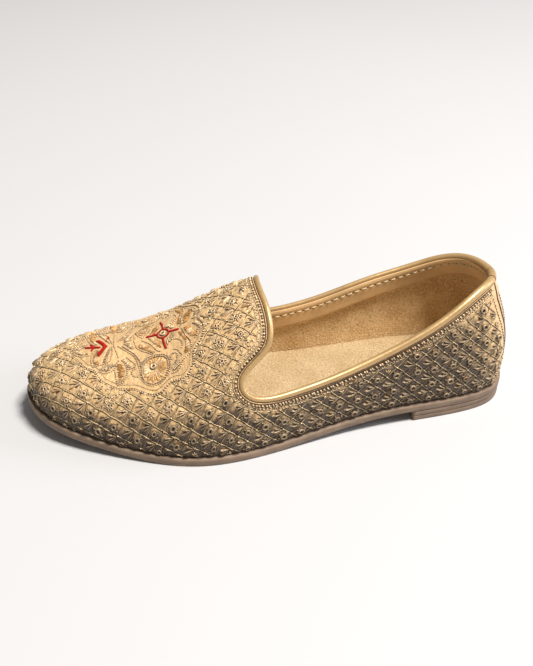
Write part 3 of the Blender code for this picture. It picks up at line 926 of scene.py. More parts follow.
def arc_shape(radius, thick, start, end, steps=10, sides=6):
    """A thread bent round part of a circle."""
    bm = bmesh.new()
    closed = abs(end - start) >= 360
    made = bmesh.ops.create_grid(bm, x_segments=steps, y_segments=sides, size=0.5)["verts"]
    for v in made:
        turn = math.radians(start + (v.co.x + 0.5) * (end - start))
        roll = (v.co.y + 0.5) * 2 * math.pi
        slim = 1 if closed else max(0.25, math.sqrt(max(0, 1 - (2 * abs(v.co.x)) ** 6)))
        r = radius + thick * slim * math.cos(roll)
        height = thick * slim * math.sin(roll) + thick * 0.6
        v.co = (r * math.cos(turn), r * math.sin(turn), height)
    bmesh.ops.remove_doubles(bm, verts=bm.verts, dist=1e-4)
    bmesh.ops.recalc_face_normals(bm, faces=bm.faces)
    return shape_of(bm)


# Materials


def srgb(code):
    """Linear colour of an sRGB hex value."""
    parts = [int(code[i : i + 2], 16) / 255 for i in (1, 3, 5)]
    return tuple(p / 12.92 if p <= 0.04045 else ((p + 0.055) / 1.055) ** 2.4 for p in parts)


def add(tree, kind, settings=None, links=None):
    """A node with its settings and the sockets that feed it."""
    node = tree.nodes.new(kind)
    for key, value in (settings or {}).items():
        if isinstance(key, int) or key in node.inputs:
            node.inputs[key].default_value = value
        else:
            setattr(node, key, value)
    for key, socket in (links or {}).items():
        tree.links.new(socket, node.inputs[key])
    return node


def start_material(name, shader_settings):
    """A new material with its tree, its shader and the coordinates of its piece."""
    made = bpy.data.materials.new(name)
    made.use_nodes = True
    tree = made.node_tree
    shader = tree.nodes["Principled BSDF"]
    for key, value in shader_settings.items():
        shader.inputs[key].default_value = value
    place = add(tree, "ShaderNodeTexCoord").outputs["Object"]
    return SimpleNamespace(data=made, tree=tree, shader=shader, place=place)


def finish_material(material, colour, layers=(), above=None):
    """Lays bumps over each other, each a (texture, settings, output, depth in mm), and links the
    colour to the shader."""
    material.tree.links.new(colour, material.shader.inputs["Base Color"])
    above = above or {}
    for kind, settings, output, depth in layers:
        texture = add(material.tree, kind, settings, {"Vector": material.place}).outputs[output]
        links = {"Height": texture, **above}
        bump = add(material.tree, "ShaderNodeBump", {"Distance": depth * MM}, links)
        above = {"Normal": bump.outputs["Normal"]}
    if above:
        material.tree.links.new(above["Normal"], material.shader.inputs["Normal"])
    return material.data


def between(material, value, low, high, first, second):
    """Colour that goes from the first to the second as a value goes from low to high."""
    share = add(material.tree, "ShaderNodeMapRange", {1: low, 2: high}, {0: value}).outputs[0]
    settings, links = {"data_type": "RGBA"}, {0: share}
    for key, colour in ((6, first), (7, second)):
        if isinstance(colour, bpy.types.NodeSocket):
            links[key] = colour
        else:
            settings[key] = (*colour, 1)
    return add(material.tree, "ShaderNodeMix", settings, links).outputs[2]


def blotches(material, size_mm, first, second, low=0.35, high=0.65, detail=3.0):
    """Two colours in soft patches about so many millimetres across."""
    settings = {"Scale": 1 / (size_mm * MM), "Detail": detail}
    noise = add(material.tree, "ShaderNodeTexNoise", settings, {"Vector": material.place})
    return between(material, noise.outputs["Fac"], low, high, first, second)


def painted_gap_shade(material, reach_mm, low, high, dark, colour):
    """Painted shade: darkens a colour in the narrow gaps between stitches, by ambient occlusion.
    """
    settings = {"samples": 6, "Distance": reach_mm * MM}
    gap = add(material.tree, "ShaderNodeAmbientOcclusion", settings)
    return between(material, gap.outputs["AO"], low, high, srgb(dark), colour)


def painted_facing_light(material, low, high, deep, colour):
    """Painted light and shade by the way the surface faces: the deep colour where it hangs, the
    bright one where it faces up and where it turns round the back of the heel."""
    lie = add(material.tree, "ShaderNodeNewGeometry").outputs["Normal"]
    parts = add(material.tree, "ShaderNodeSeparateXYZ", {}, {"Vector": lie}).outputs
    settings = {"operation": "MULTIPLY_ADD", 1: -0.85}
    links = {0: parts["Y"], 2: parts["Z"]}
    back = add(material.tree, "ShaderNodeMath", settings, links).outputs[0]
    links = {0: back, 1: parts["Z"]}
    lies = add(material.tree, "ShaderNodeMath", {"operation": "MAXIMUM"}, links).outputs[0]
    return between(material, lies, low, high, deep, colour)


def faded(colour, share):
    return tuple(min(1.0, c * share) for c in colour)


def noise_layer(size_mm, depth, detail=3.0):
    settings = {"Scale": 1 / (size_mm * MM), "Detail": detail}
    return "ShaderNodeTexNoise", settings, "Fac", depth


def twill_layer(pitch_mm, depth, distortion):
    settings = {
        "Scale": 1 / (pitch_mm * MM) / (2 * math.pi),
        "Distortion": distortion,
        "Detail": 2.0,
        "bands_direction": "DIAGONAL",
    }
    return "ShaderNodeTexWave", settings, "Fac", depth


def two_tone(name, settings, size_mm, dark, pale, layers=()):
    """A material of two tones in soft patches."""
    material = start_material(name, settings)
    return finish_material(material, blotches(material, size_mm, dark, pale), layers)


def groove(tree):
    """How deep the cloth sinks beside the cords, from its own pattern: 1 under a cord."""
    pattern = add(tree, "ShaderNodeAttribute", {"attribute_name": PATTERN}).outputs["Vector"]
    x, y, share = add(tree, "ShaderNodeSeparateXYZ", {}, {0: pattern}).outputs
    fold = {"operation": "PINGPONG", 1: embroidery().cell / MM / 2}
    away = {}
    for k, way in enumerate(("ADD", "SUBTRACT")):
        across = add(tree, "ShaderNodeMath", {"operation": way}, {0: x, 1: y}).outputs[0]
        away[k] = add(tree, "ShaderNodeMath", fold, {0: across}).outputs[0]
    nearest = add(tree, "ShaderNodeMath", {"operation": "MINIMUM"}, away).outputs[0]
    settings = {"interpolation_type": "SMOOTHSTEP", 1: 0.3, 2: 0.85, 3: 1.0, 4: 0.0}
    sunk = add(tree, "ShaderNodeMapRange", settings, {0: nearest}).outputs[0]
    return add(tree, "ShaderNodeMath", {"operation": "MULTIPLY"}, {0: sunk, 1: share}).outputs[0]


@cache
def satin_ground():
    """Woven gold satin: painted light and shade by the way it faces, painted shade in gaps and
    grooves.
    """
    material = start_material(
        "woven_gold_satin", {"Roughness": 0.52, "Metallic": 0.1, "Sheen Weight": 0.1}
    )
    satin, painted_shade = embroidery().satin, embroidery().painted_shade
    # Painted light and shade: the deep colour where the satin hangs, its own colour where it faces
    # up.
    deep = blotches(material, 2.6, faded(painted_shade, 0.7), faded(painted_shade, 1.35), 0.4, 0.62)
    colour = painted_facing_light(material, 0.2, 0.6, deep, blotches(material, 14, faded(satin, 0.84), satin))
    # Painted shade in the narrow gaps between stitches.
    colour = painted_gap_shade(material, 1.2, 0.2, 0.8, "#3E2A18", colour)
    sunk = groove(material.tree)
    # Painted shade: a darker brown in the groove beside each cord.
    colour = between(material, sunk, 0.15, 1.05, colour, srgb("#533718"))
    settings = {"invert": True, "Distance": 1.1 * MM}
    dip = add(material.tree, "ShaderNodeBump", settings, {"Height": sunk})
    # Satin floats are 0.1 mm apart, drawn 0.45 mm apart so that they show.
    layers = twill_layer(0.45, 0.06, 2.0), noise_layer(0.6, 0.12), noise_layer(2.4, 0.9, 1.0)
    return finish_material(material, colour, layers, {"Normal": dip.outputs["Normal"]})


def yarn(name, share):
    """Metallised yarn, twisted and couched, warmer strands; painted light on its tops, shade below
    and in gaps.
    """
    material = start_material(name, {"Roughness": 0.4, "Metallic": 0.35, "Sheen Weight": 0.1})
    thread, warm = (faded(c, share) for c in (embroidery().thread, embroidery().warm_thread))
    colour = blotches(material, 2.2, faded(thread, 0.62), thread, 0.35, 0.6)
    colour = blotches(material, 9, colour, warm, 0.62, 0.72)
    # Painted light and shade: strands bright on top, dark on their undersides.
    colour = painted_facing_light(material, -0.3, 0.4, srgb("#5A493B"), colour)
    # Painted shade in the narrow gaps between stitches.
    colour = painted_gap_shade(material, 0.8, 0.15, 0.6, "#3E2D1C", colour)
    # Yarn twist is 0.3 mm a turn, drawn at 0.6 mm.
    return finish_material(material, colour, (twill_layer(0.6, 0.2, 4.0), noise_layer(0.5, 0.2)))


@cache
def gold_thread():
    """The yarn at full brightness, as it shows lit on the top of the foot and along the borders.
    """
    return yarn("metallised_gold_yarn", 1.0)


@cache
def shaded_wall_yarn():
    """The same yarn darkened, painted shade for the walls of the shoe."""
    return yarn("gold_yarn_painted_wall_shade", 0.44)


@cache
def cord_thread():
    """Antique-gold cord couched along the lattice: duller than the yarn, patchy, with painted
    shade.
    """
    material = start_material("antique_gold_cord", {"Roughness": 0.45, "Metallic": 0.3})
    cord = embroidery().cord_colour
    colour = blotches(material, 1.4, faded(cord, 0.5), cord, 0.35, 0.6)
    # Painted light and shade: the cord darker where it hangs.
    colour = painted_facing_light(material, 0.05, 0.75, srgb("#4C3D2E"), colour)
    # Painted shade in the narrow gaps between stitches.
    colour = painted_gap_shade(material, 0.9, 0.2, 0.7, "#33241A", colour)
    # Yarn twist is 0.3 mm a turn, drawn at 0.6 mm.
    return finish_material(material, colour, (twill_layer(0.6, 0.25, 4.0),))


@cache
def brown_yarn_and_shade():
    """Matt dark brown yarn of the back seam and piping joint; also painted shade under motifs and
    piping.
    """
    tones = faded(embroidery().brown_and_shade, 0.6), faded(embroidery().brown_and_shade, 1.2)
    layers = (noise_layer(0.5, 0.25),)
    return two_tone("brown_yarn_and_painted_shade", {"Roughness": 0.6}, 1.0, *tones, layers)


@cache
def warm_thread():
    """Orange-gold rayon yarn of the petals: warm, silky, pale at some turns."""
    material = start_material(
        "orange_gold_rayon_yarn", {"Roughness": 0.5, "Metallic": 0.1, "Sheen Weight": 0.1}
    )
    warm = embroidery().warm_thread
    colour = blotches(material, 1.1, faded(warm, 0.55), warm, 0.38, 0.6)
    colour = blotches(material, 5, colour, embroidery().thread, 0.5, 0.62)
    # Painted shade in the narrow gaps between stitches.
    colour = painted_gap_shade(material, 0.9, 0.1, 0.6, "#5C3C1E", colour)
    return finish_material(material, colour, (noise_layer(0.5, 0.2),))


@cache
def red_thread():
    """Red rayon yarn laid in slanted stitches: deep red, soft and hardly glossy."""
    settings = {"Roughness": 0.6, "Specular IOR Level": 0.3}
    tones = faded(embroidery().red, 0.6), embroidery().red
    return two_tone("red_rayon_yarn", settings, 1.2, *tones, (noise_layer(0.4, 0.15),))


@cache
def pinhole():
    """Dark matt mark of a needle hole: painted shade inside the hole."""
    tones = srgb("#1F150D"), srgb("#3A291A")
    return two_tone("needle_hole_painted_shade", {"Roughness": 0.9}, 1.0, *tones)


def leather(name, colour, grain_mm, grain_depth, worn, settings):
    """Leather with a pebbled grain, fine creases, slow changes of tone and rubbed gloss."""
    material = start_material(name, settings)
    tone = blotches(material, 18, faded(colour, worn), colour)
    rubbed = add(material.tree, "ShaderNodeTexNoise", {"Scale": 200.0}, {"Vector": material.place})
    rough = settings["Roughness"]
    limits = {1: 0.3, 2: 0.7, 3: rough * 0.85, 4: rough * 1.15}
    gloss = add(material.tree, "ShaderNodeMapRange", limits, {0: rubbed.outputs["Fac"]}).outputs[0]
    material.tree.links.new(gloss, material.shader.inputs["Roughness"])
    pebbles = "ShaderNodeTexVoronoi", {"Scale": 1 / (grain_mm * MM)}, "Distance", grain_depth
    return finish_material(material, tone, (pebbles, noise_layer(3.5, grain_depth * 2)))


@cache
def piping_leather():
    """Thin gold-foiled goat leather, rolled: smooth, softly glossy."""
    settings = {"Roughness": 0.37, "Metallic": 0.4, "Coat Weight": 0.1, "Coat Roughness": 0.35}
    return leather("foiled_gold_leather", leathers().piping, 0.7, 0.03, 0.88, settings)


@cache
def facing_leather():
    """Tan sheep leather facing, matt with a fine grain."""
    return leather("tan_sheep_leather", leathers().facing, 0.8, 0.05, 0.82, {"Roughness": 0.5})


@cache
def stitch_thread():
    """Waxed polyester sewing thread: smooth, pale and softly glossy."""
    tones = faded(leathers().stitch, 0.75), leathers().stitch
    layers = (noise_layer(0.3, 0.08),)
    return two_tone("waxed_sewing_thread", {"Roughness": 0.5}, 0.8, *tones, layers)


def plush(name, colour, dark, tuft_mm):
    """Short brushed pile: a sheen at grazing angles, tufts lying in slow strokes."""
    colour, dark = srgb(colour), srgb(dark)
    settings = {
        "Roughness": 0.9,
        "Sheen Weight": 0.7,
        "Sheen Roughness": 0.4,
        "Sheen Tint": (*colour, 1),
    }
    material = start_material(name, settings)
    base = blotches(material, 16, dark, colour, 0.3, 0.7, 2.0)
    base = blotches(material, tuft_mm, base, faded(colour, 1.3), 0.45, 0.75, 4.0)
    base = blotches(material, tuft_mm * 1.3, faded(dark, 0.7), base, 0.25, 0.45, 4.0)
    return finish_material(material, base, (noise_layer(tuft_mm, 0.8, 4.0), noise_layer(0.5, 0.3)))


@cache
def lining_plush():
    """Brown-gold brushed plush of the lining."""
    return plush("brushed_lining_plush", "#EECC9C", "#CDA56E", 1.1)


@cache
def insole_plush():
    """Golden brushed plush of the insole, paler than the lining."""
    return plush("brushed_insole_plush", "#CDB68E", "#B99D73", 1.0)


@cache
def sole_leather():
    """Vegetable-tanned buffalo leather with raw cut edges: layers show as fine level lines."""
    material = start_material("vegetable_tanned_sole_leather", {"Roughness": 0.62})
    colour = leathers().sole
    base = blotches(material, 10, faded(colour, 0.72), colour, detail=4.0)
    settings, links = {"Scale": (0.06, 0.06, 1.0)}, {"Vector": material.place}
    level = add(material.tree, "ShaderNodeMapping", settings, links)
    material.place = level.outputs["Vector"]
    base = blotches(material, 0.9, base, faded(colour, 0.5), 0.58, 0.75)
    return finish_material(material, base, (noise_layer(0.9, 0.25),))


# Settings


def colour_setting(name, description, code):
    return FloatVectorProperty(
        name=name, description=description, subtype="COLOR", default=srgb(code)
    )


def length_setting(name, description, length_mm):
    return FloatProperty(
        name=name, description=description, unit="LENGTH", default=length_mm * MM
    )


class MojariEmbroidery(bpy.types.PropertyGroup):
    cell: length_setting("Cell", "Diagonal of a lattice cell", 11.4)
    cord: length_setting("Cord", "Radius of the couched cords", 0.4)
    pillow: length_setting("Pillow", "How far the satin puffs up in a cell", 0.7)
    satin: colour_setting("Satin", "Colour of the ground", "#E1BC88")
    painted_shade: colour_setting("Weft", "Colour of the satin's deep weft", "#53453B")
    cord_colour: colour_setting("Cord colour", "Colour of the couched cords", "#E4C99A")
    thread: colour_setting("Thread", "Colour of the yarn", "#F2D3A8")
    warm_thread: colour_setting("Warm thread", "Colour of its warmer strands", "#D8A35E")
    brown_and_shade: colour_setting("Backing thread", "Colour between the leaves", "#553D28")
    red: colour_setting("Red", "Colour of the red motifs", "#BE1712")


class MojariLeather(bpy.types.PropertyGroup):
    piping: colour_setting("Piping", "Colour of the rolled edge", "#C8A674")
    facing: colour_setting("Facing", "Colour of the inner band", "#F2CC96")
    stitch: colour_setting("Stitch", "Colour of the running stitches", "#F0DEB8")
    sole: colour_setting("Sole", "Colour of the sole leather", "#8C7662")
    stitch_pitch: length_setting("Stitch pitch", "Length of a stitch and its gap", 4.6)


class MojariStage(bpy.types.PropertyGroup):
    floor: colour_setting("Floor", "Colour of the floor", "#C4C5C8")
    key: FloatProperty(
        name="Key light",
        description="Power of the large overhead light",
        default=88.0,
        unit="POWER",
    )
    side: FloatProperty(
        name="Side light",
        description="Power of the light on the heel's side",
        default=20.0,
        unit="POWER",
    )
    fill: FloatProperty(
        name="Surroundings", description="Strength of the even light around", default=0.27
    )


def embroidery():
    return bpy.context.scene.mojari_embroidery


def leathers():
    return bpy.context.scene.mojari_leather


# Pieces


def pillow_height(x, y):
    """How far the ground cloth stands up inside the cells of the lattice."""
    cell = embroidery().cell / MM
    a = abs(np.sin(np.pi * (x + y - LATTICE_Y) / cell))
    b = abs(np.sin(np.pi * (x - y + LATTICE_Y) / cell))
    return embroidery().pillow / MM * (a * b) ** 0.6


def calm_share(x, y):
    """Share of the pillows' height: none by the collar, the sole and the seam, nor in the
    medallion."""
    spot = sample(x, y)
    calm = smooth_step((spot.collar - PILLOW_FROM_COLLAR) / PILLOW_RISE)
    calm = calm * smooth_step((seam_distance(x, y) - PILLOW_FROM_SEAM) / PILLOW_RISE)
    return calm * ~in_medallion(x, y) * smooth_step(spot.sole / PILLOW_RISE_SOLE)


def both_halves(points):
    """A line of the medallion's outer half in the flat pattern, and its mirror image."""
    x, y = np.asarray(points, float).T
    axis = np.interp(y, *np.transpose(AXIS))
    return np.stack((-x, y), axis=1), np.stack((2 * axis + x, y), axis=1)


@cache
def medallion_line():
    outer, inner = both_halves(BORDER)
    return rounded(np.vstack((outer, inner[:0:-1])), 1, closed=True)


def in_medallion(x, y, margin=0.0):
    line = medallion_line()
    held = inside(line, x, y)
    if margin:
        dense = resampled(line, 1.5, closed=True)
        flat = np.stack((np.ravel(x), np.ravel(y)), axis=1)
        near = np.array([np.hypot(*(dense - p).T).min() for p in flat]).reshape(np.shape(x))
        held = held | (near < margin)
    return held


def clear(spot, x, y, room):
    """Which of the sampled flat places leave some room to all that borders the lattice."""
    collar, seam, sole, medallion = room
    far = (spot.collar > collar) & (spot.sole > sole) & (seam_distance(x, y) > seam)
    return far & ~in_medallion(x, y, medallion)


def seam_distance(x, y):
    """Distance in the flat pattern from the seam at the back of the heel: less than nothing
    where the pattern is cut off, and behind the seam where it is left plain."""
    across = np.where(x < 0, wall_start(OUTER)[0], wall_start(INNER)[0])
    seam = seam_line(across - ROW_X + (ROW_X - abs(x)) / ROW_PULL)
    outer = y - wall_start(OUTER)[1] - seam
    inner = y - wall_start(INNER)[1] + seam - PLAIN_BEHIND
    on_wall, nowhere_near = abs(x) > 20, 99.0
    return np.where(on_wall, np.where(x < 0, outer, inner), nowhere_near)


class MOJARI_OT_upper(bpy.types.Operator):
    """Shapes the last-formed upper of gold satin, with its plush lining inside"""

    bl_idname = "mojari.upper"
    bl_label = "Upper and lining"

    def execute(self, context):
        bm = bmesh.new()
        bm.verts.layers.float_vector.new(PATTERN)
        columns, rows = UPPER_COLUMNS, UPPER_ROWS
        for side in (OUTER, INNER):
            along, up = upper_shares(side, columns, rows)

            def skin(i, j, depth=None, side=side, along=along, up=up):
                a, b = along[i, j], up[i, j]
                centre = (i == 0) | (i == columns) | (b > 0.9999)
                worn, puffed = self.raised(side, a, b)
                other = self.raised(-side, a, b)
                worn = np.where(centre, (worn + other[0]) / 2, worn)
                puffed = np.where(centre, (puffed + other[1]) / 2, puffed)
                normal = outward(side, a, b)
                normal = np.where(centre, unit(normal + outward(-side, a, b)), normal)
                height = worn - depth if depth else worn + puffed
                return (last(side, a, b) + normal * height).T

            def pattern(i, j, side=side, along=along, up=up):
                """Place in the lattice in millimetres, and the share of the pillows."""
                x, y = flat_place(side, along[i, j], up[i, j])
                return np.stack((x, y - LATTICE_Y, calm_share(x, y)), axis=1)

            add_sheet(bm, columns, rows, skin, note=pattern)
            add_sheet(bm, columns, rows, lambda i, j: skin(i, j, WALL), material=1)
        bmesh.ops.remove_doubles(bm, verts=bm.verts, dist=2e-7)
        rim = [e for e in bm.edges if e.is_boundary]
        bmesh.ops.bridge_loops(bm, edges=[e for e in rim if self.low(e)])
        bmesh.ops.bridge_loops(bm, edges=[e for e in rim if not self.low(e)])
        solid("embroidered_upper", bm, (satin_ground(), lining_plush()), "upper")
        return {"FINISHED"}

    @staticmethod
    def raised(side, along, up):
        """How far the creases, and the pillows inside the cells, move the skin outward."""
        x, y = flat_place(side, along, up)
        spot = sample(x, y)
        return creased(x, y, spot.collar, spot.sole), pillow_height(x, y) * calm_share(x, y)

    @staticmethod
    def low(edge):
        """Whether an edge of the rim is the one on the sole."""
        middle = (edge.verts[0].co + edge.verts[1].co) / 2
        y = middle.y / MM + HEEL_MIDDLE_Y
        return middle.z / MM < under(y) + SOLE_THICKNESS + 4


class MOJARI_OT_lattice(bpy.types.Operator):
    """Couches the thin cords of the diamond lattice, with a knot where they cross"""

    bl_idname = "mojari.lattice"
    bl_label = "Lattice cords"

    def execute(self, context):
        cell, radius = embroidery().cell / MM, embroidery().cord / MM
        lines = []
        for turn in (1, -1):
            for k in range(-LATTICE_LINES, LATTICE_LINES + 1):
                t = np.arange(-LINE_REACH, LINE_REACH, LINE_STEP)
                x, y = k * cell - turn * t, LATTICE_Y + t
                keep = (abs(x) < CLOTH_X[1]) & (y > CLOTH_Y[0]) & (y < CLOTH_Y[1])
                x, y, t = x[keep], y[keep], t[keep]
                spot = sample(x, y)
                on = spot.held & clear(spot, x, y, CORD_ROOM)
                rng = np.random.default_rng(k * 2 + turn + 200)
                wander = 0.14 * np.sin(t * 0.9 + rng.uniform(0, 6)) + 0.07 * np.sin(t * 2.3)
                points = lay(x + wander, y + wander * turn, np.full(len(x), radius * 0.8))
                breaks = np.flatnonzero(np.diff(on.astype(int))) + 1
                for run in np.split(np.arange(len(x)), breaks):
                    if len(run) > 2 and on[run[0]]:
                        lines.append(points[run])
        laid("lattice_cords", lines, radius, cord_thread())
        across = np.arange(-CROSSINGS_X, CROSSINGS_X + 1)
        along = np.arange(-CROSSINGS_Y, CROSSINGS_Y + 1)
        a, b = np.meshgrid(across, along, indexing="ij")
        x, y = a.ravel() * cell / 2, LATTICE_Y + b.ravel() * cell / 2
        cross = (a + b).ravel() % 2 == 0
        x, y = x[cross], y[cross]
        spot = sample(x, y)
        on = spot.held & clear(spot, x, y, KNOT_ROOM)
        x, y = x[on], y[on]
        knots = on_cloth(bead_shape(1.25, 0.52, 0.65), x, y, np.arange(len(x)) * 1.3, lift=0.25)
        sewn("lattice_knots", [knots], gold_thread())
        return {"FINISHED"}


class MOJARI_OT_motifs(bpy.types.Operator):
    """Fills the cells in turn with a fan of leaves or a ring with knots round it"""

    bl_idname = "mojari.motifs"
    bl_label = "Fans and rings"

    def execute(self, context):
        cell = embroidery().cell / MM
        rng = np.random.default_rng(11)
        a, b = np.meshgrid(np.arange(*CELLS_X), np.arange(*CELLS_Y), indexing="ij")
        fan_cells = np.array((a.ravel() * cell, LATTICE_Y + (b.ravel() + 0.5) * cell))
        ring_cells = np.array(((a.ravel() + 0.5) * cell, LATTICE_Y + b.ravel() * cell))
        leaves, loops, dark = {True: [], False: []}, {True: [], False: []}, []
        for lies, angles, wide, high, long in (TOP_FAN, WALL_FAN):
            x, y = self.kept(*fan_cells, lies)
            y = y - cell / 2 + 0.8
            spike = spike_shape(long, wide, high)
            for angle, size in angles:
                turn = np.radians(angle + rng.normal(0, 5, len(x)))
                scale = size * rng.uniform(0.9, 1.08, len(x))
                leaves[lies].append(on_cloth(spike, x, y, turn, scale, puffed=True))
            turn = rng.normal(0, 0.05, len(x))
            # A dark wedge under each fan: painted shade between its leaves.
            dark.append(on_cloth(wedge_shape(), x, y, turn, puffed=True))
        for lies, ring, hook, count, reach, disc in (TOP_RING, WALL_RING):
            x, y = self.kept(*ring_cells, lies)
            x, y = x + rng.normal(0, 0.35, len(x)), y + rng.normal(0, 0.35, len(x))
            # A dark disc under each ring: painted shade in and round it.
            dark.append(on_cloth(bead_shape(2 * disc, disc, 0.2), x, y, 0.0, puffed=True))
            turn = rng.uniform(0, 6, len(x))
            shape = arc_shape(*ring, 0, 360, 12)
            size = rng.uniform(0.85, 1.12, len(x))
            loops[lies].append(on_cloth(shape, x, y, turn, size, lift=0.15, puffed=True))
            for k in range(count):
                way = 2 * math.pi * (k + 0.25) / count + rng.normal(0, 0.22, len(x))
                place = round_about((x, y), reach * rng.uniform(0.88, 1.08, len(x)), way)
                shape = arc_shape(*hook, 0, 230 + 40 * (k % 2), 7, 5)
                turn = way + rng.uniform(-0.9, 0.9, len(x))
                loops[lies].append(on_cloth(shape, *place, turn, lift=0.1, puffed=True))
        loops[True].append(self.crumbs(np.hstack((fan_cells, ring_cells)), rng))
        # The walls get the darker copy of the yarn: painted shade.
        for lies, where, thread in ((True, "top", gold_thread()), (False, "walls", shaded_wall_yarn())):
            sewn(f"fan_leaves_{where}", leaves[lies], thread)
            sewn(f"ring_knots_{where}", loops[lies], thread)
        # Dark wedges and discs under the motifs: painted shade.
        sewn("painted_shade_under_motifs", dark, brown_yarn_and_shade())
        return {"FINISHED"}

    @staticmethod
    def kept(x, y, lies):
        """Cells with room for a whole motif, on the top of the foot or on the walls."""
        spot = sample(x, y)
        on = spot.held & clear(spot, x, y, MOTIF_ROOM) & ((spot.normal[..., 2] > 0.5) == lies)
        return x[on], y[on]

    @staticmethod
    def crumbs(cells, rng):
        """Loose loops in the cells that the collar, the seam or the medallion cuts off."""
        x, y = np.repeat(cells, 6, axis=1)
        whole = clear(sample(x, y), x, y, MOTIF_ROOM)
        x, y = x[~whole], y[~whole]
        way, far = rng.uniform(0, 2 * math.pi, len(x)), rng.uniform(0.4, 3.4, len(x))
        x, y = round_about((x, y), far, way)
        spot = sample(x, y)
        on = spot.held & clear(spot, x, y, CRUMB_ROOM)
        shape = arc_shape(0.8, 0.36, 0, 240, 7, 5)
        return on_cloth(shape, x[on], y[on], way[on] * 3, lift=0.1, puffed=True)


def petal_reach(way, outer):
    """How far a flower goes each way: farthest outward, then toward the heel."""
    inward, toe, away, heel = FLOWER_REACH
    across = np.where(np.cos(way) * outer > 0, away, inward)
    along = np.where(np.sin(way) > 0, toe, heel)
    return np.sqrt((across * np.cos(way)) ** 2 + (along * np.sin(way)) ** 2)


class MOJARI_OT_medallion(bpy.types.Operator):
    """Embroiders the vamp's scalloped medallion: rope border, flowers, leaves, red tulip"""

    bl_idname = "mojari.medallion"
    bl_label = "Medallion"

    def execute(self, context):
        line = resampled(medallion_line(), 1.5, closed=True)
        turn = headings(line, closed=True) - math.pi / 2
        aside = np.stack((np.cos(turn), np.sin(turn)), axis=1)
        bead = bead_shape(1.6, 0.48, 0.8)
        rope = [
            on_cloth(bead, *(line + aside * offset).T, turn + slant)
            for offset, slant in ((-0.35, 0.5), (0.4, -0.5))
        ]
        sewn("medallion_rope", rope, gold_thread())
        inner = rounded(line - aside * 2.6, 1, closed=True)
        echo = resampled(inner, 1.0, closed=True)
        small = bead_shape(0.8, 0.36, 0.42)
        beads = [on_cloth(small, *echo.T, headings(echo, closed=True))]
        loop_bead = bead_shape(1.15, 0.42, 0.6)
        for row in ROWS:
            for half in both_halves(row):
                points = resampled(rounded(half, 2), 1.3)
                beads.append(on_cloth(loop_bead, *points.T, headings(points) - math.pi / 2 + 0.35))
        cool, warm = [], []
        for is_warm, one, other in BANDS:
            for first, second in zip(both_halves(one), both_halves(other)):
                (warm if is_warm else cool).append(self.band(first, second))
        for centre in both_halves([(FLOWER.x, FLOWER.y)]):
            self.flower(centre[0], cool, warm, beads)
        sewn("medallion_beads", beads, gold_thread())
        sewn("medallion_stitches", cool, gold_thread())
        sewn("medallion_warm_stitches", warm, warm_thread())
        self.red()
        return {"FINISHED"}

    @staticmethod
    def band(first, second, pitch=0.95):
        """Satin stitches side by side from one edge of a petal to the other."""
        count = max(len(resampled(edge, pitch)) for edge in (first, second))
        ends = []
        for edge in (first, second):
            line = resampled(rounded(edge, 1), pitch)
            ends.append(on_line(line, np.linspace(0, 1, len(line)), np.linspace(0, 1, count)))
        middle, across = (ends[0] + ends[1]) / 2, ends[1] - ends[0]
        rng = np.random.default_rng(len(middle) + int(abs(middle[0, 0]) * 10))
        length = np.maximum(np.hypot(*across.T), 0.8) * rng.uniform(0.85, 1.12, count)
        turn = np.arctan2(across[:, 1], across[:, 0]) - math.pi / 2 + rng.normal(0, 0.16, count)
        lift = rng.uniform(-0.12, 0.25, count)
        return on_cloth(bead_shape(1.0, 0.36, 0.62), *middle.T, turn, stretch=length, lift=lift)

    @staticmethod
    def flower(centre, cool, warm, beads):
        """Petals round a small ring, longer on the side away from the axis, and looped beads."""
        outer = np.sign(centre[0])
        petal = 6.6
        for group, share, start, short, wide in (
            (warm, 0.0, 2.2, 0.0, 1.35),
            (cool, 0.5, 2.6, 0.9, 0.5),
        ):
            way = even_turns(FLOWER.petals) + share * 2 * math.pi / FLOWER.petals
            reach = petal_reach(way, outer)
            long = (reach - start - short) / petal
            shape = spike_shape(petal, wide, 1.0)
            place = round_about(centre, start, way)
            group.append(on_cloth(shape, *place, way - math.pi / 2, stretch=long))
        bead = bead_shape(1.1, 0.48, 0.75)
        for extra, size, count, lean in ((0.9, 1.0, 44, 0.3), (2.0, 0.8, 52, -0.3)):
            way = even_turns(count)
            reach = petal_reach(way, outer) + extra
            beads.append(on_cloth(bead, *round_about(centre, reach, way), way + lean, size))
        beads.append(on_cloth(arc_shape(1.3, 0.55, 0, 360, 14), *centre[:, None], 0.0, lift=0.3))

    @staticmethod
    def red():
        stitch = bead_shape(1.0, 0.36, 0.62)
        groups = []
        slant = 0.9
        for width, stroke in RED_STROKES:
            points = resampled(rounded(stroke, 1), 0.5)
            turn, long = headings(points) - math.pi / 2 + slant, width / math.sin(slant)
            groups.append(on_cloth(stitch, *points.T, turn, stretch=long, lift=0.15))
        way = even_turns(34)
        place = round_about((RED_RING.x, RED_RING.y), RED_RING.radius, way)
        groups.append(on_cloth(stitch, *place, way - math.pi / 2 + 0.5, stretch=1.1, lift=0.1))
        sewn("red_motifs", groups, red_thread())
        ring = arc_shape(1.35, 0.6, 0, 360, 12)
        heart = on_cloth(ring, [RED_RING.x], [RED_RING.y], 0.0, lift=0.2)
        sewn("medallion_heart", [heart], gold_thread())


def joint_number(loop):
    """Number of the loop's point where the piping's two ends meet."""
    mine = np.where(loop.sides == OUTER, loop.shares[0], 9.0)
    return int(abs(mine - JOINT_ALONG).argmin())


def piping_radius(loop):
    plump = np.zeros(len(loop.sides))
    for side, table in PIPING_PLUMP.items():
        mine = loop.sides == side
        plump[mine] = np.interp(loop.shares[0, mine], *np.transpose(table))
    return PIPING_RADIUS * plump


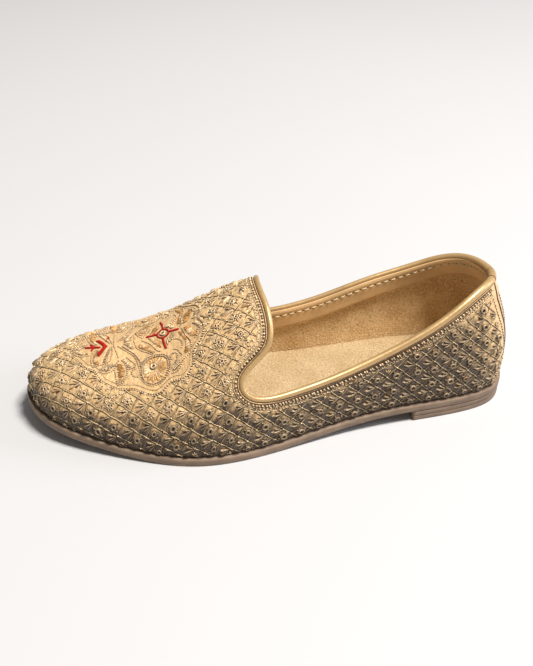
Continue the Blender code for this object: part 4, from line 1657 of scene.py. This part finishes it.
class MOJARI_OT_collar(bpy.types.Operator):
    """Rolls the gold piping, sets the leather facing with its running stitches and the beads
    below the piping"""

    bl_idname = "mojari.collar"
    bl_label = "Collar"

    def execute(self, context):
        self.piping()
        self.facing()
        self.stitches(leathers().stitch_pitch / MM)
        self.border()
        return {"FINISHED"}

    @staticmethod
    def piping():
        loop = edge_loop()
        count = len(loop.sides)
        thick = piping_radius(loop)
        centre = loop.places - loop.normals * WALL / 2 + loop.out * (thick + PIPING_LIFT)
        length = lengths_along(loop.places.T)
        sides, joint = 20, joint_number(loop)

        def place(i, j):
            k, turn = i % count, j / sides * 2 * math.pi
            at = length[k]
            way = abs(at - length[joint])
            swell = 1 + 0.04 * bell(way, 1.8, 1.4) - 0.1 * bell(way, 0, 0.6)
            drawn = smooth_step((loop.shares[0][k] - 0.5) / 0.06)
            pucker = 0.03 * drawn * np.abs(np.sin(at * 0.9 + turn * 0.5))
            pucker = pucker + 0.008 * np.sin(at * 1.9) + 0.006 * np.sin(at * 0.73 + 1)
            radius = thick[k] * (swell - pucker)
            side = np.cos(turn) * loop.out[:, k] + np.sin(turn) * loop.normals[:, k]
            return (centre[:, k] + radius * side).T

        bm = bmesh.new()
        add_sheet(bm, count, sides, place)
        solid("collar_piping_roll", bm, (piping_leather(),), "collar_piping")
        turn = np.linspace(0, 2 * math.pi, 25)[:, None]
        around = np.cos(turn) * loop.out[:, joint] + np.sin(turn) * loop.normals[:, joint]
        around = centre[:, joint] + thick[joint] * 0.94 * around
        laid("piping_joint", [around], 0.32, brown_yarn_and_shade())

    @staticmethod
    def facing():
        """The band lies on the lining, and its top edge is turned up against the piping."""
        loop = edge_loop()
        count = len(loop.sides)
        thick = piping_radius(loop)
        flat = np.linspace(1.9, FACING_WIDTH - 0.6, 9)
        distances = np.r_[-FACING_RISE, -1.5, -0.8, 0.1, 1.0, flat, FACING_WIDTH]
        back, front = [], []
        for distance in distances:
            place, normal = inward_line(loop, max(distance, 0.0))
            place = place + loop.out * max(-distance, 0.0)
            half = thick**2 - np.minimum(thick, thick + PIPING_LIFT + distance) ** 2
            inset = np.maximum(FACING_INSET, WALL / 2 + 0.1 + np.sqrt(np.maximum(half, 0)))
            back.append(place - normal * inset)
            soft = 0.6 * bell(distance, -FACING_RISE, 0.9) + 0.35 * (distance == FACING_WIDTH)
            stitched = 0.3 * bell(distance, STITCH_LINE, 0.8)
            front.append(place - normal * (inset + FACING_THICKNESS - soft - stitched))
        rows = np.array(back + front[::-1] + back[:1])

        bm = bmesh.new()
        add_sheet(bm, count, len(rows) - 1, lambda i, j: rows[j, :, i % count])
        solid("collar_facing_band", bm, (facing_leather(),), "collar_facing")

    @staticmethod
    def stitches(pitch):
        """Capsules of thread on the face of the facing."""
        loop = edge_loop()
        place, normal = inward_line(loop, STITCH_LINE, FACING_INSET + FACING_THICKNESS - 0.25)
        line = np.vstack((place.T, place.T[:1]))
        length = lengths_along(line)
        count = int(length[-1] / pitch)
        rise = np.array((-0.25, 0.25, 0.38, 0.38, 0.25, -0.25))
        threads, holes = [], []
        for k in range(count):
            for spread, heights, lines in (
                (np.array((0.92, 0.92)), np.array((-0.2, 0.1)), holes),
                (np.linspace(0.12, 0.72, 6), rise, threads),
            ):
                at = length[-1] * (k + spread) / count
                outside = on_line(normal.T, length[:-1], at)
                lines.append(on_line(line, length, at) - outside * heights[:, None])
        laid("facing_stitches", threads, 0.38, stitch_thread())
        # Dark tubes at the needle holes: painted shade.
        laid("facing_pinholes", holes, 0.42, pinhole())

    @staticmethod
    def border():
        """Row of loops and beads between two cords, under the piping on the outside."""
        loop = edge_loop()
        half = np.where(loop.sides == OUTER, SIDES[OUTER][3], SIDES[INNER][3])
        past_seam = -loop.sides * loop.shares[0] * half - SEAM_LINE[-1][1]
        ahead, behind = SEAM_STRIP + 2, 2 * SEAM_STRIP + PLAIN_BEHIND
        plain = (past_seam < ahead) & (past_seam > -behind)
        round_once = np.roll(np.arange(len(plain)), -np.flatnonzero(plain)[-1] - 1)
        round_once = round_once[~plain[round_once]]
        for name, made, radius, distances in (
            ("border_cords", cord_thread(), 0.32, (2.9, 5.2)),
            ("border_shadow_cord", brown_yarn_and_shade(), 0.3, (0.7,)),
        ):
            cords = []
            for distance in distances:
                place, normal = inward_line(loop, distance)
                cords.append((place + normal * 0.12).T[round_once])
            laid(name, cords, radius, made)
        length = lengths_along(loop.places.T)
        groups = []
        hook = arc_shape(0.75, 0.34, 0, 250, 7, 5)
        rng = np.random.default_rng(5)
        for distance, pitch, shape, lean, stray in (
            (1.6, 1.9, bead_shape(1.5, 0.6, 0.95), 0.6, 0.2),
            (4.1, 2.1, hook, 0.0, 1.6),
        ):
            place, normal = inward_line(loop, distance)
            count = int(length[-1] / pitch)
            at = (np.arange(count) + 0.5) / count * length[-1]
            k = np.searchsorted(length, at) % len(length)
            k = k[~plain[k]]
            points, faces = shape
            turn = lean + rng.normal(0, stray, len(k))
            along, inner, out = loop.tangent[:, k], -loop.out[:, k], normal[:, k]
            c, s = np.cos(turn), np.sin(turn)
            ex, ey = along * c + inner * s, inner * c - along * s
            copies = place[:, k].T[:, None] + np.einsum("ik,n->kni", ex, points[:, 0])
            copies = copies + np.einsum("ik,n->kni", ey, points[:, 1])
            copies = copies + np.einsum("ik,n->kni", out, points[:, 2])
            groups.append((copies, faces))
        sewn("border_loops", groups, gold_thread())


class MOJARI_OT_back_seam(bpy.types.Operator):
    """Closes the upper at the back of the heel, with a row of stitches on each side"""

    bl_idname = "mojari.back_seam"
    bl_label = "Back seam"

    def execute(self, context):
        height = np.linspace(0.5, SEAM_LINE[-1][0], 90)
        place = wall_place(OUTER, seam_line(height), height)
        height = height[sample(*place).collar > 0.2]
        top = height[-1]
        line = lay(*wall_place(OUTER, seam_line(height), height), 0 * height + 0.1)
        loop = edge_loop()
        line = np.vstack((line, loop.places[:, joint_number(loop)]))
        laid("back_seam_line", [line], 0.5, brown_yarn_and_shade())
        stitches, holes = [], []
        rise = np.array((-0.1, 0.2, -0.1))
        lowest, below_top, pitch = 3.0, 6, 2.3
        for aside in (SEAM_STRIP, -SEAM_STRIP):
            for low in np.arange(lowest, top - below_top, pitch):
                height = low + np.array((0.1, 0.6, 1.1))
                along = seam_line(height) + aside
                stitches.append(lay(*wall_place(OUTER, along, height), rise))
                height, along = low + np.array((1.55, 1.75)), along[:2]
                holes.append(lay(*wall_place(OUTER, along, height), np.zeros(2)))
        laid("back_seam_stitches", stitches, 0.3, gold_thread())
        # Dark tubes at the needle holes: painted shade.
        laid("back_seam_pinholes", holes, 0.58, pinhole())
        return {"FINISHED"}


def plate_loop(offset, stations, ends, corner=0):
    """Edge of a plate over the outline, once round, with the middle that each point faces."""
    shares = np.linspace(0, 1, stations + 1)
    edge, middle = [], []
    for side, order in ((OUTER, 1), (INNER, -1)):
        mine = np.array(outline(side, shares * ends[side], offset)).T
        other = np.array(outline(-side, shares * ends[-side], offset)).T
        edge.append(mine[::order])
        middle.append(((mine + other) / 2)[::order])
    if corner:
        t = np.linspace(0, 1, corner + 1)[1:-1, None]
        edge.insert(1, edge[0][-1] * (1 - t) + edge[1][0] * t)
        middle.insert(1, np.repeat(middle[0][-1:], corner - 1, axis=0))
        edge[2] = edge[2][:-1]
        middle[2] = middle[2][:-1]
    else:
        edge[1], middle[1] = edge[1][1:-1], middle[1][1:-1]
    return np.vstack(edge), np.vstack(middle)


def add_plate(bm, loop, low, high, profile):
    """Closed plate: from the middle of its underside round its edge to the middle of its top.
    profile lists (inset, share of the thickness) over the edge."""
    edge, middle = loop
    count = len(edge)
    shares = (0.0, 0.35, 0.65, 0.88)
    rows = [(s, 0.0, 0.0) for s in shares]
    rows += [(1.0, inset, t) for inset, t in profile]
    rows += [(s, 0.0, 1.0) for s in reversed(shares)]
    rows = np.array(rows)
    toward = middle - edge
    far = np.maximum(np.linalg.norm(toward, axis=1), 1e-6)

    def place(i, j):
        k, r = i % count, rows[j]
        inset = (toward[k].T / far[k]) * np.minimum(r[:, 1], far[k])
        flat = middle[k].T + (edge[k] - middle[k]).T * r[:, 0] + inset
        thick = high(flat[1]) - low(flat[1])
        return np.array((*flat, low(flat[1]) + thick * r[:, 2])).T

    add_sheet(bm, count, len(rows) - 1, place)


class MOJARI_OT_insole(bpy.types.Operator):
    """Lays the plush-covered insole"""

    bl_idname = "mojari.insole"
    bl_label = "Insole"

    def execute(self, context):
        bm = bmesh.new()
        loop = plate_loop(PLUSH - INSOLE_INSET, 120, {OUTER: 1, INNER: 1})
        profile = ((0.2, 0.0), (0.0, 0.2), (0.0, 0.6), (0.3, 0.9), (1.0, 1.0))

        def low(y):
            return under(y) + SOLE_THICKNESS + GAP

        add_plate(bm, loop, low, lambda y: low(y) + INSOLE_THICKNESS, profile)
        solid("plush_insole", bm, (insole_plush(),), "insole")
        return {"FINISHED"}


class MOJARI_OT_sole(bpy.types.Operator):
    """Cuts the leather outsole and stacks the low heel under it"""

    bl_idname = "mojari.sole"
    bl_label = "Outsole and heel"

    def execute(self, context):
        bm = bmesh.new()
        loop = plate_loop(SOLE_LEDGE, 150, {OUTER: 1, INNER: 1})
        edge = ((0.7, 0.0), (0.15, 0.1), (0.0, 0.3), (0.0, 0.7), (0.2, 0.92), (0.8, 1.0))
        add_plate(bm, loop, under, lambda y: under(y) + SOLE_THICKNESS, edge)
        solid("leather_outsole", bm, (sole_leather(),), "outsole")
        breast = {}
        for side in (OUTER, INNER):
            shares = np.linspace(0, 0.5, 501)
            y = outline(side, shares, SOLE_LEDGE)[1]
            breast[side] = float(np.interp(BREAST_Y, y, shares))
        lift = SEAT_HEIGHT / 2
        for k in range(2):
            bm = bmesh.new()
            loop = plate_loop(SOLE_LEDGE - 0.1, 60, breast, corner=12)
            low, high = k * lift, (k + 1) * lift - 0.05
            edge = ((0.4, 0.0), (0.08, 0.12), (0.0, 0.4), (0.0, 0.7), (0.1, 0.92), (0.35, 1.0))
            add_plate(bm, loop, lambda y: 0 * y + low, lambda y: 0 * y + high, edge)
            name, node = f"stacked_heel_{k + 1}", f"heel_lift_{k + 1}"
            solid(name, bm, (sole_leather(),), node)
        return {"FINISHED"}


# Camera fitted to the photograph: focal length in pixels of the 533 x 666 picture, angles in
# degrees, and the point it looks at in millimetres
PICTURE = 533, 666
FOCAL, PITCH, YAW, ROLL = 1009.5, 34.5, -14.2, 3.78
TARGET, DISTANCE = (0.0, 145.72, 44.46), 581.4
# The middle of the shoe, which the lamps face, in metres
LIT_PLACE = 0, 0.11, 0.03


class MOJARI_OT_stage(bpy.types.Operator):
    """Sets the pale floor, the soft lights and the camera at the photograph's angle"""

    bl_idname = "mojari.stage"
    bl_label = "Stage"

    def execute(self, context):
        settings = context.scene.mojari_stage
        bm = bmesh.new()
        bmesh.ops.create_grid(bm, x_segments=4, y_segments=4, size=4.0)
        mesh = plain_mesh("floor", bm)
        material = start_material("matt_painted_floor", {"Roughness": 0.8})
        colour = blotches(material, 400, faded(settings.floor, 0.985), settings.floor, detail=2.0)
        mesh.materials.append(finish_material(material, colour))
        floor = bpy.data.objects.new("floor", mesh)
        context.scene.collection.objects.link(floor)
        for name, power, size, place, colour in (
            ("key", settings.key, 0.6, (-0.4, -0.5, 2.3), "#FFF9F1"),
            ("heel_side", settings.side, 0.8, (-0.25, -2.0, 0.9), "#F4F5FF"),
        ):
            data = bpy.data.lights.new(name, "AREA")
            data.energy, data.size, data.color = power, size, srgb(colour)
            lamp = bpy.data.objects.new(name, data)
            lamp.location = place
            aim = Vector(LIT_PLACE) - lamp.location
            lamp.rotation_euler = aim.to_track_quat("-Z", "Y").to_euler()
            context.scene.collection.objects.link(lamp)
        world = bpy.data.worlds.new("even_light")
        context.scene.world = world
        world.use_nodes = True
        background = world.node_tree.nodes["Background"].inputs
        background["Color"].default_value = (*srgb("#F4F1EC"), 1)
        background["Strength"].default_value = settings.fill
        context.scene.view_settings.view_transform = "Standard"
        self.camera(context)
        return {"FINISHED"}

    @staticmethod
    def camera(context):
        pitch, yaw, roll = (math.radians(a) for a in (PITCH, YAW, ROLL))
        ahead = Vector((math.cos(yaw), math.sin(yaw), 0))
        right = Vector((math.sin(yaw), -math.cos(yaw), 0))
        look = ahead * math.cos(pitch) - Vector((0, 0, math.sin(pitch)))
        up = right.cross(look)
        across = right * math.cos(roll) + up * math.sin(roll)
        upward = up * math.cos(roll) - right * math.sin(roll)
        eye = Vector(to_metres(TARGET)) - look * DISTANCE * MM
        data = bpy.data.cameras.new("camera")
        data.sensor_width = 36.0
        data.lens = FOCAL / max(PICTURE) * data.sensor_width
        data.clip_start = 0.05
        camera = bpy.data.objects.new("camera", data)
        turn = Matrix((across, upward, -look)).transposed().to_4x4()
        camera.matrix_world = Matrix.Translation(eye) @ turn
        context.scene.collection.objects.link(camera)
        context.scene.camera = camera


class MOJARI_PT_panel(bpy.types.Panel):
    bl_idname = "MOJARI_PT_panel"
    bl_label = "Mojari"
    bl_space_type = "VIEW_3D"
    bl_region_type = "UI"
    bl_category = "Mojari"

    def draw(self, context):
        scene = context.scene
        for group in (scene.mojari_embroidery, scene.mojari_leather, scene.mojari_stage):
            box = self.layout.box()
            for name in group.__annotations__:
                box.prop(group, name)
        for operator in OPERATORS:
            self.layout.operator(operator.bl_idname)


OPERATORS = (
    MOJARI_OT_upper,
    MOJARI_OT_lattice,
    MOJARI_OT_motifs,
    MOJARI_OT_medallion,
    MOJARI_OT_collar,
    MOJARI_OT_back_seam,
    MOJARI_OT_insole,
    MOJARI_OT_sole,
    MOJARI_OT_stage,
)
GROUPS = {
    "mojari_embroidery": MojariEmbroidery,
    "mojari_leather": MojariLeather,
    "mojari_stage": MojariStage,
}


def register():
    for made in (*GROUPS.values(), *OPERATORS, MOJARI_PT_panel):
        bpy.utils.register_class(made)
    for name, group in GROUPS.items():
        setattr(bpy.types.Scene, name, PointerProperty(type=group))


def unregister():
    for name in GROUPS:
        delattr(bpy.types.Scene, name)
    for made in reversed((*GROUPS.values(), *OPERATORS, MOJARI_PT_panel)):
        bpy.utils.unregister_class(made)


def main():
    register()
    for operator in OPERATORS:
        getattr(bpy.ops.mojari, operator.bl_idname.split(".")[1])()


if __name__ == "__main__":
    main()
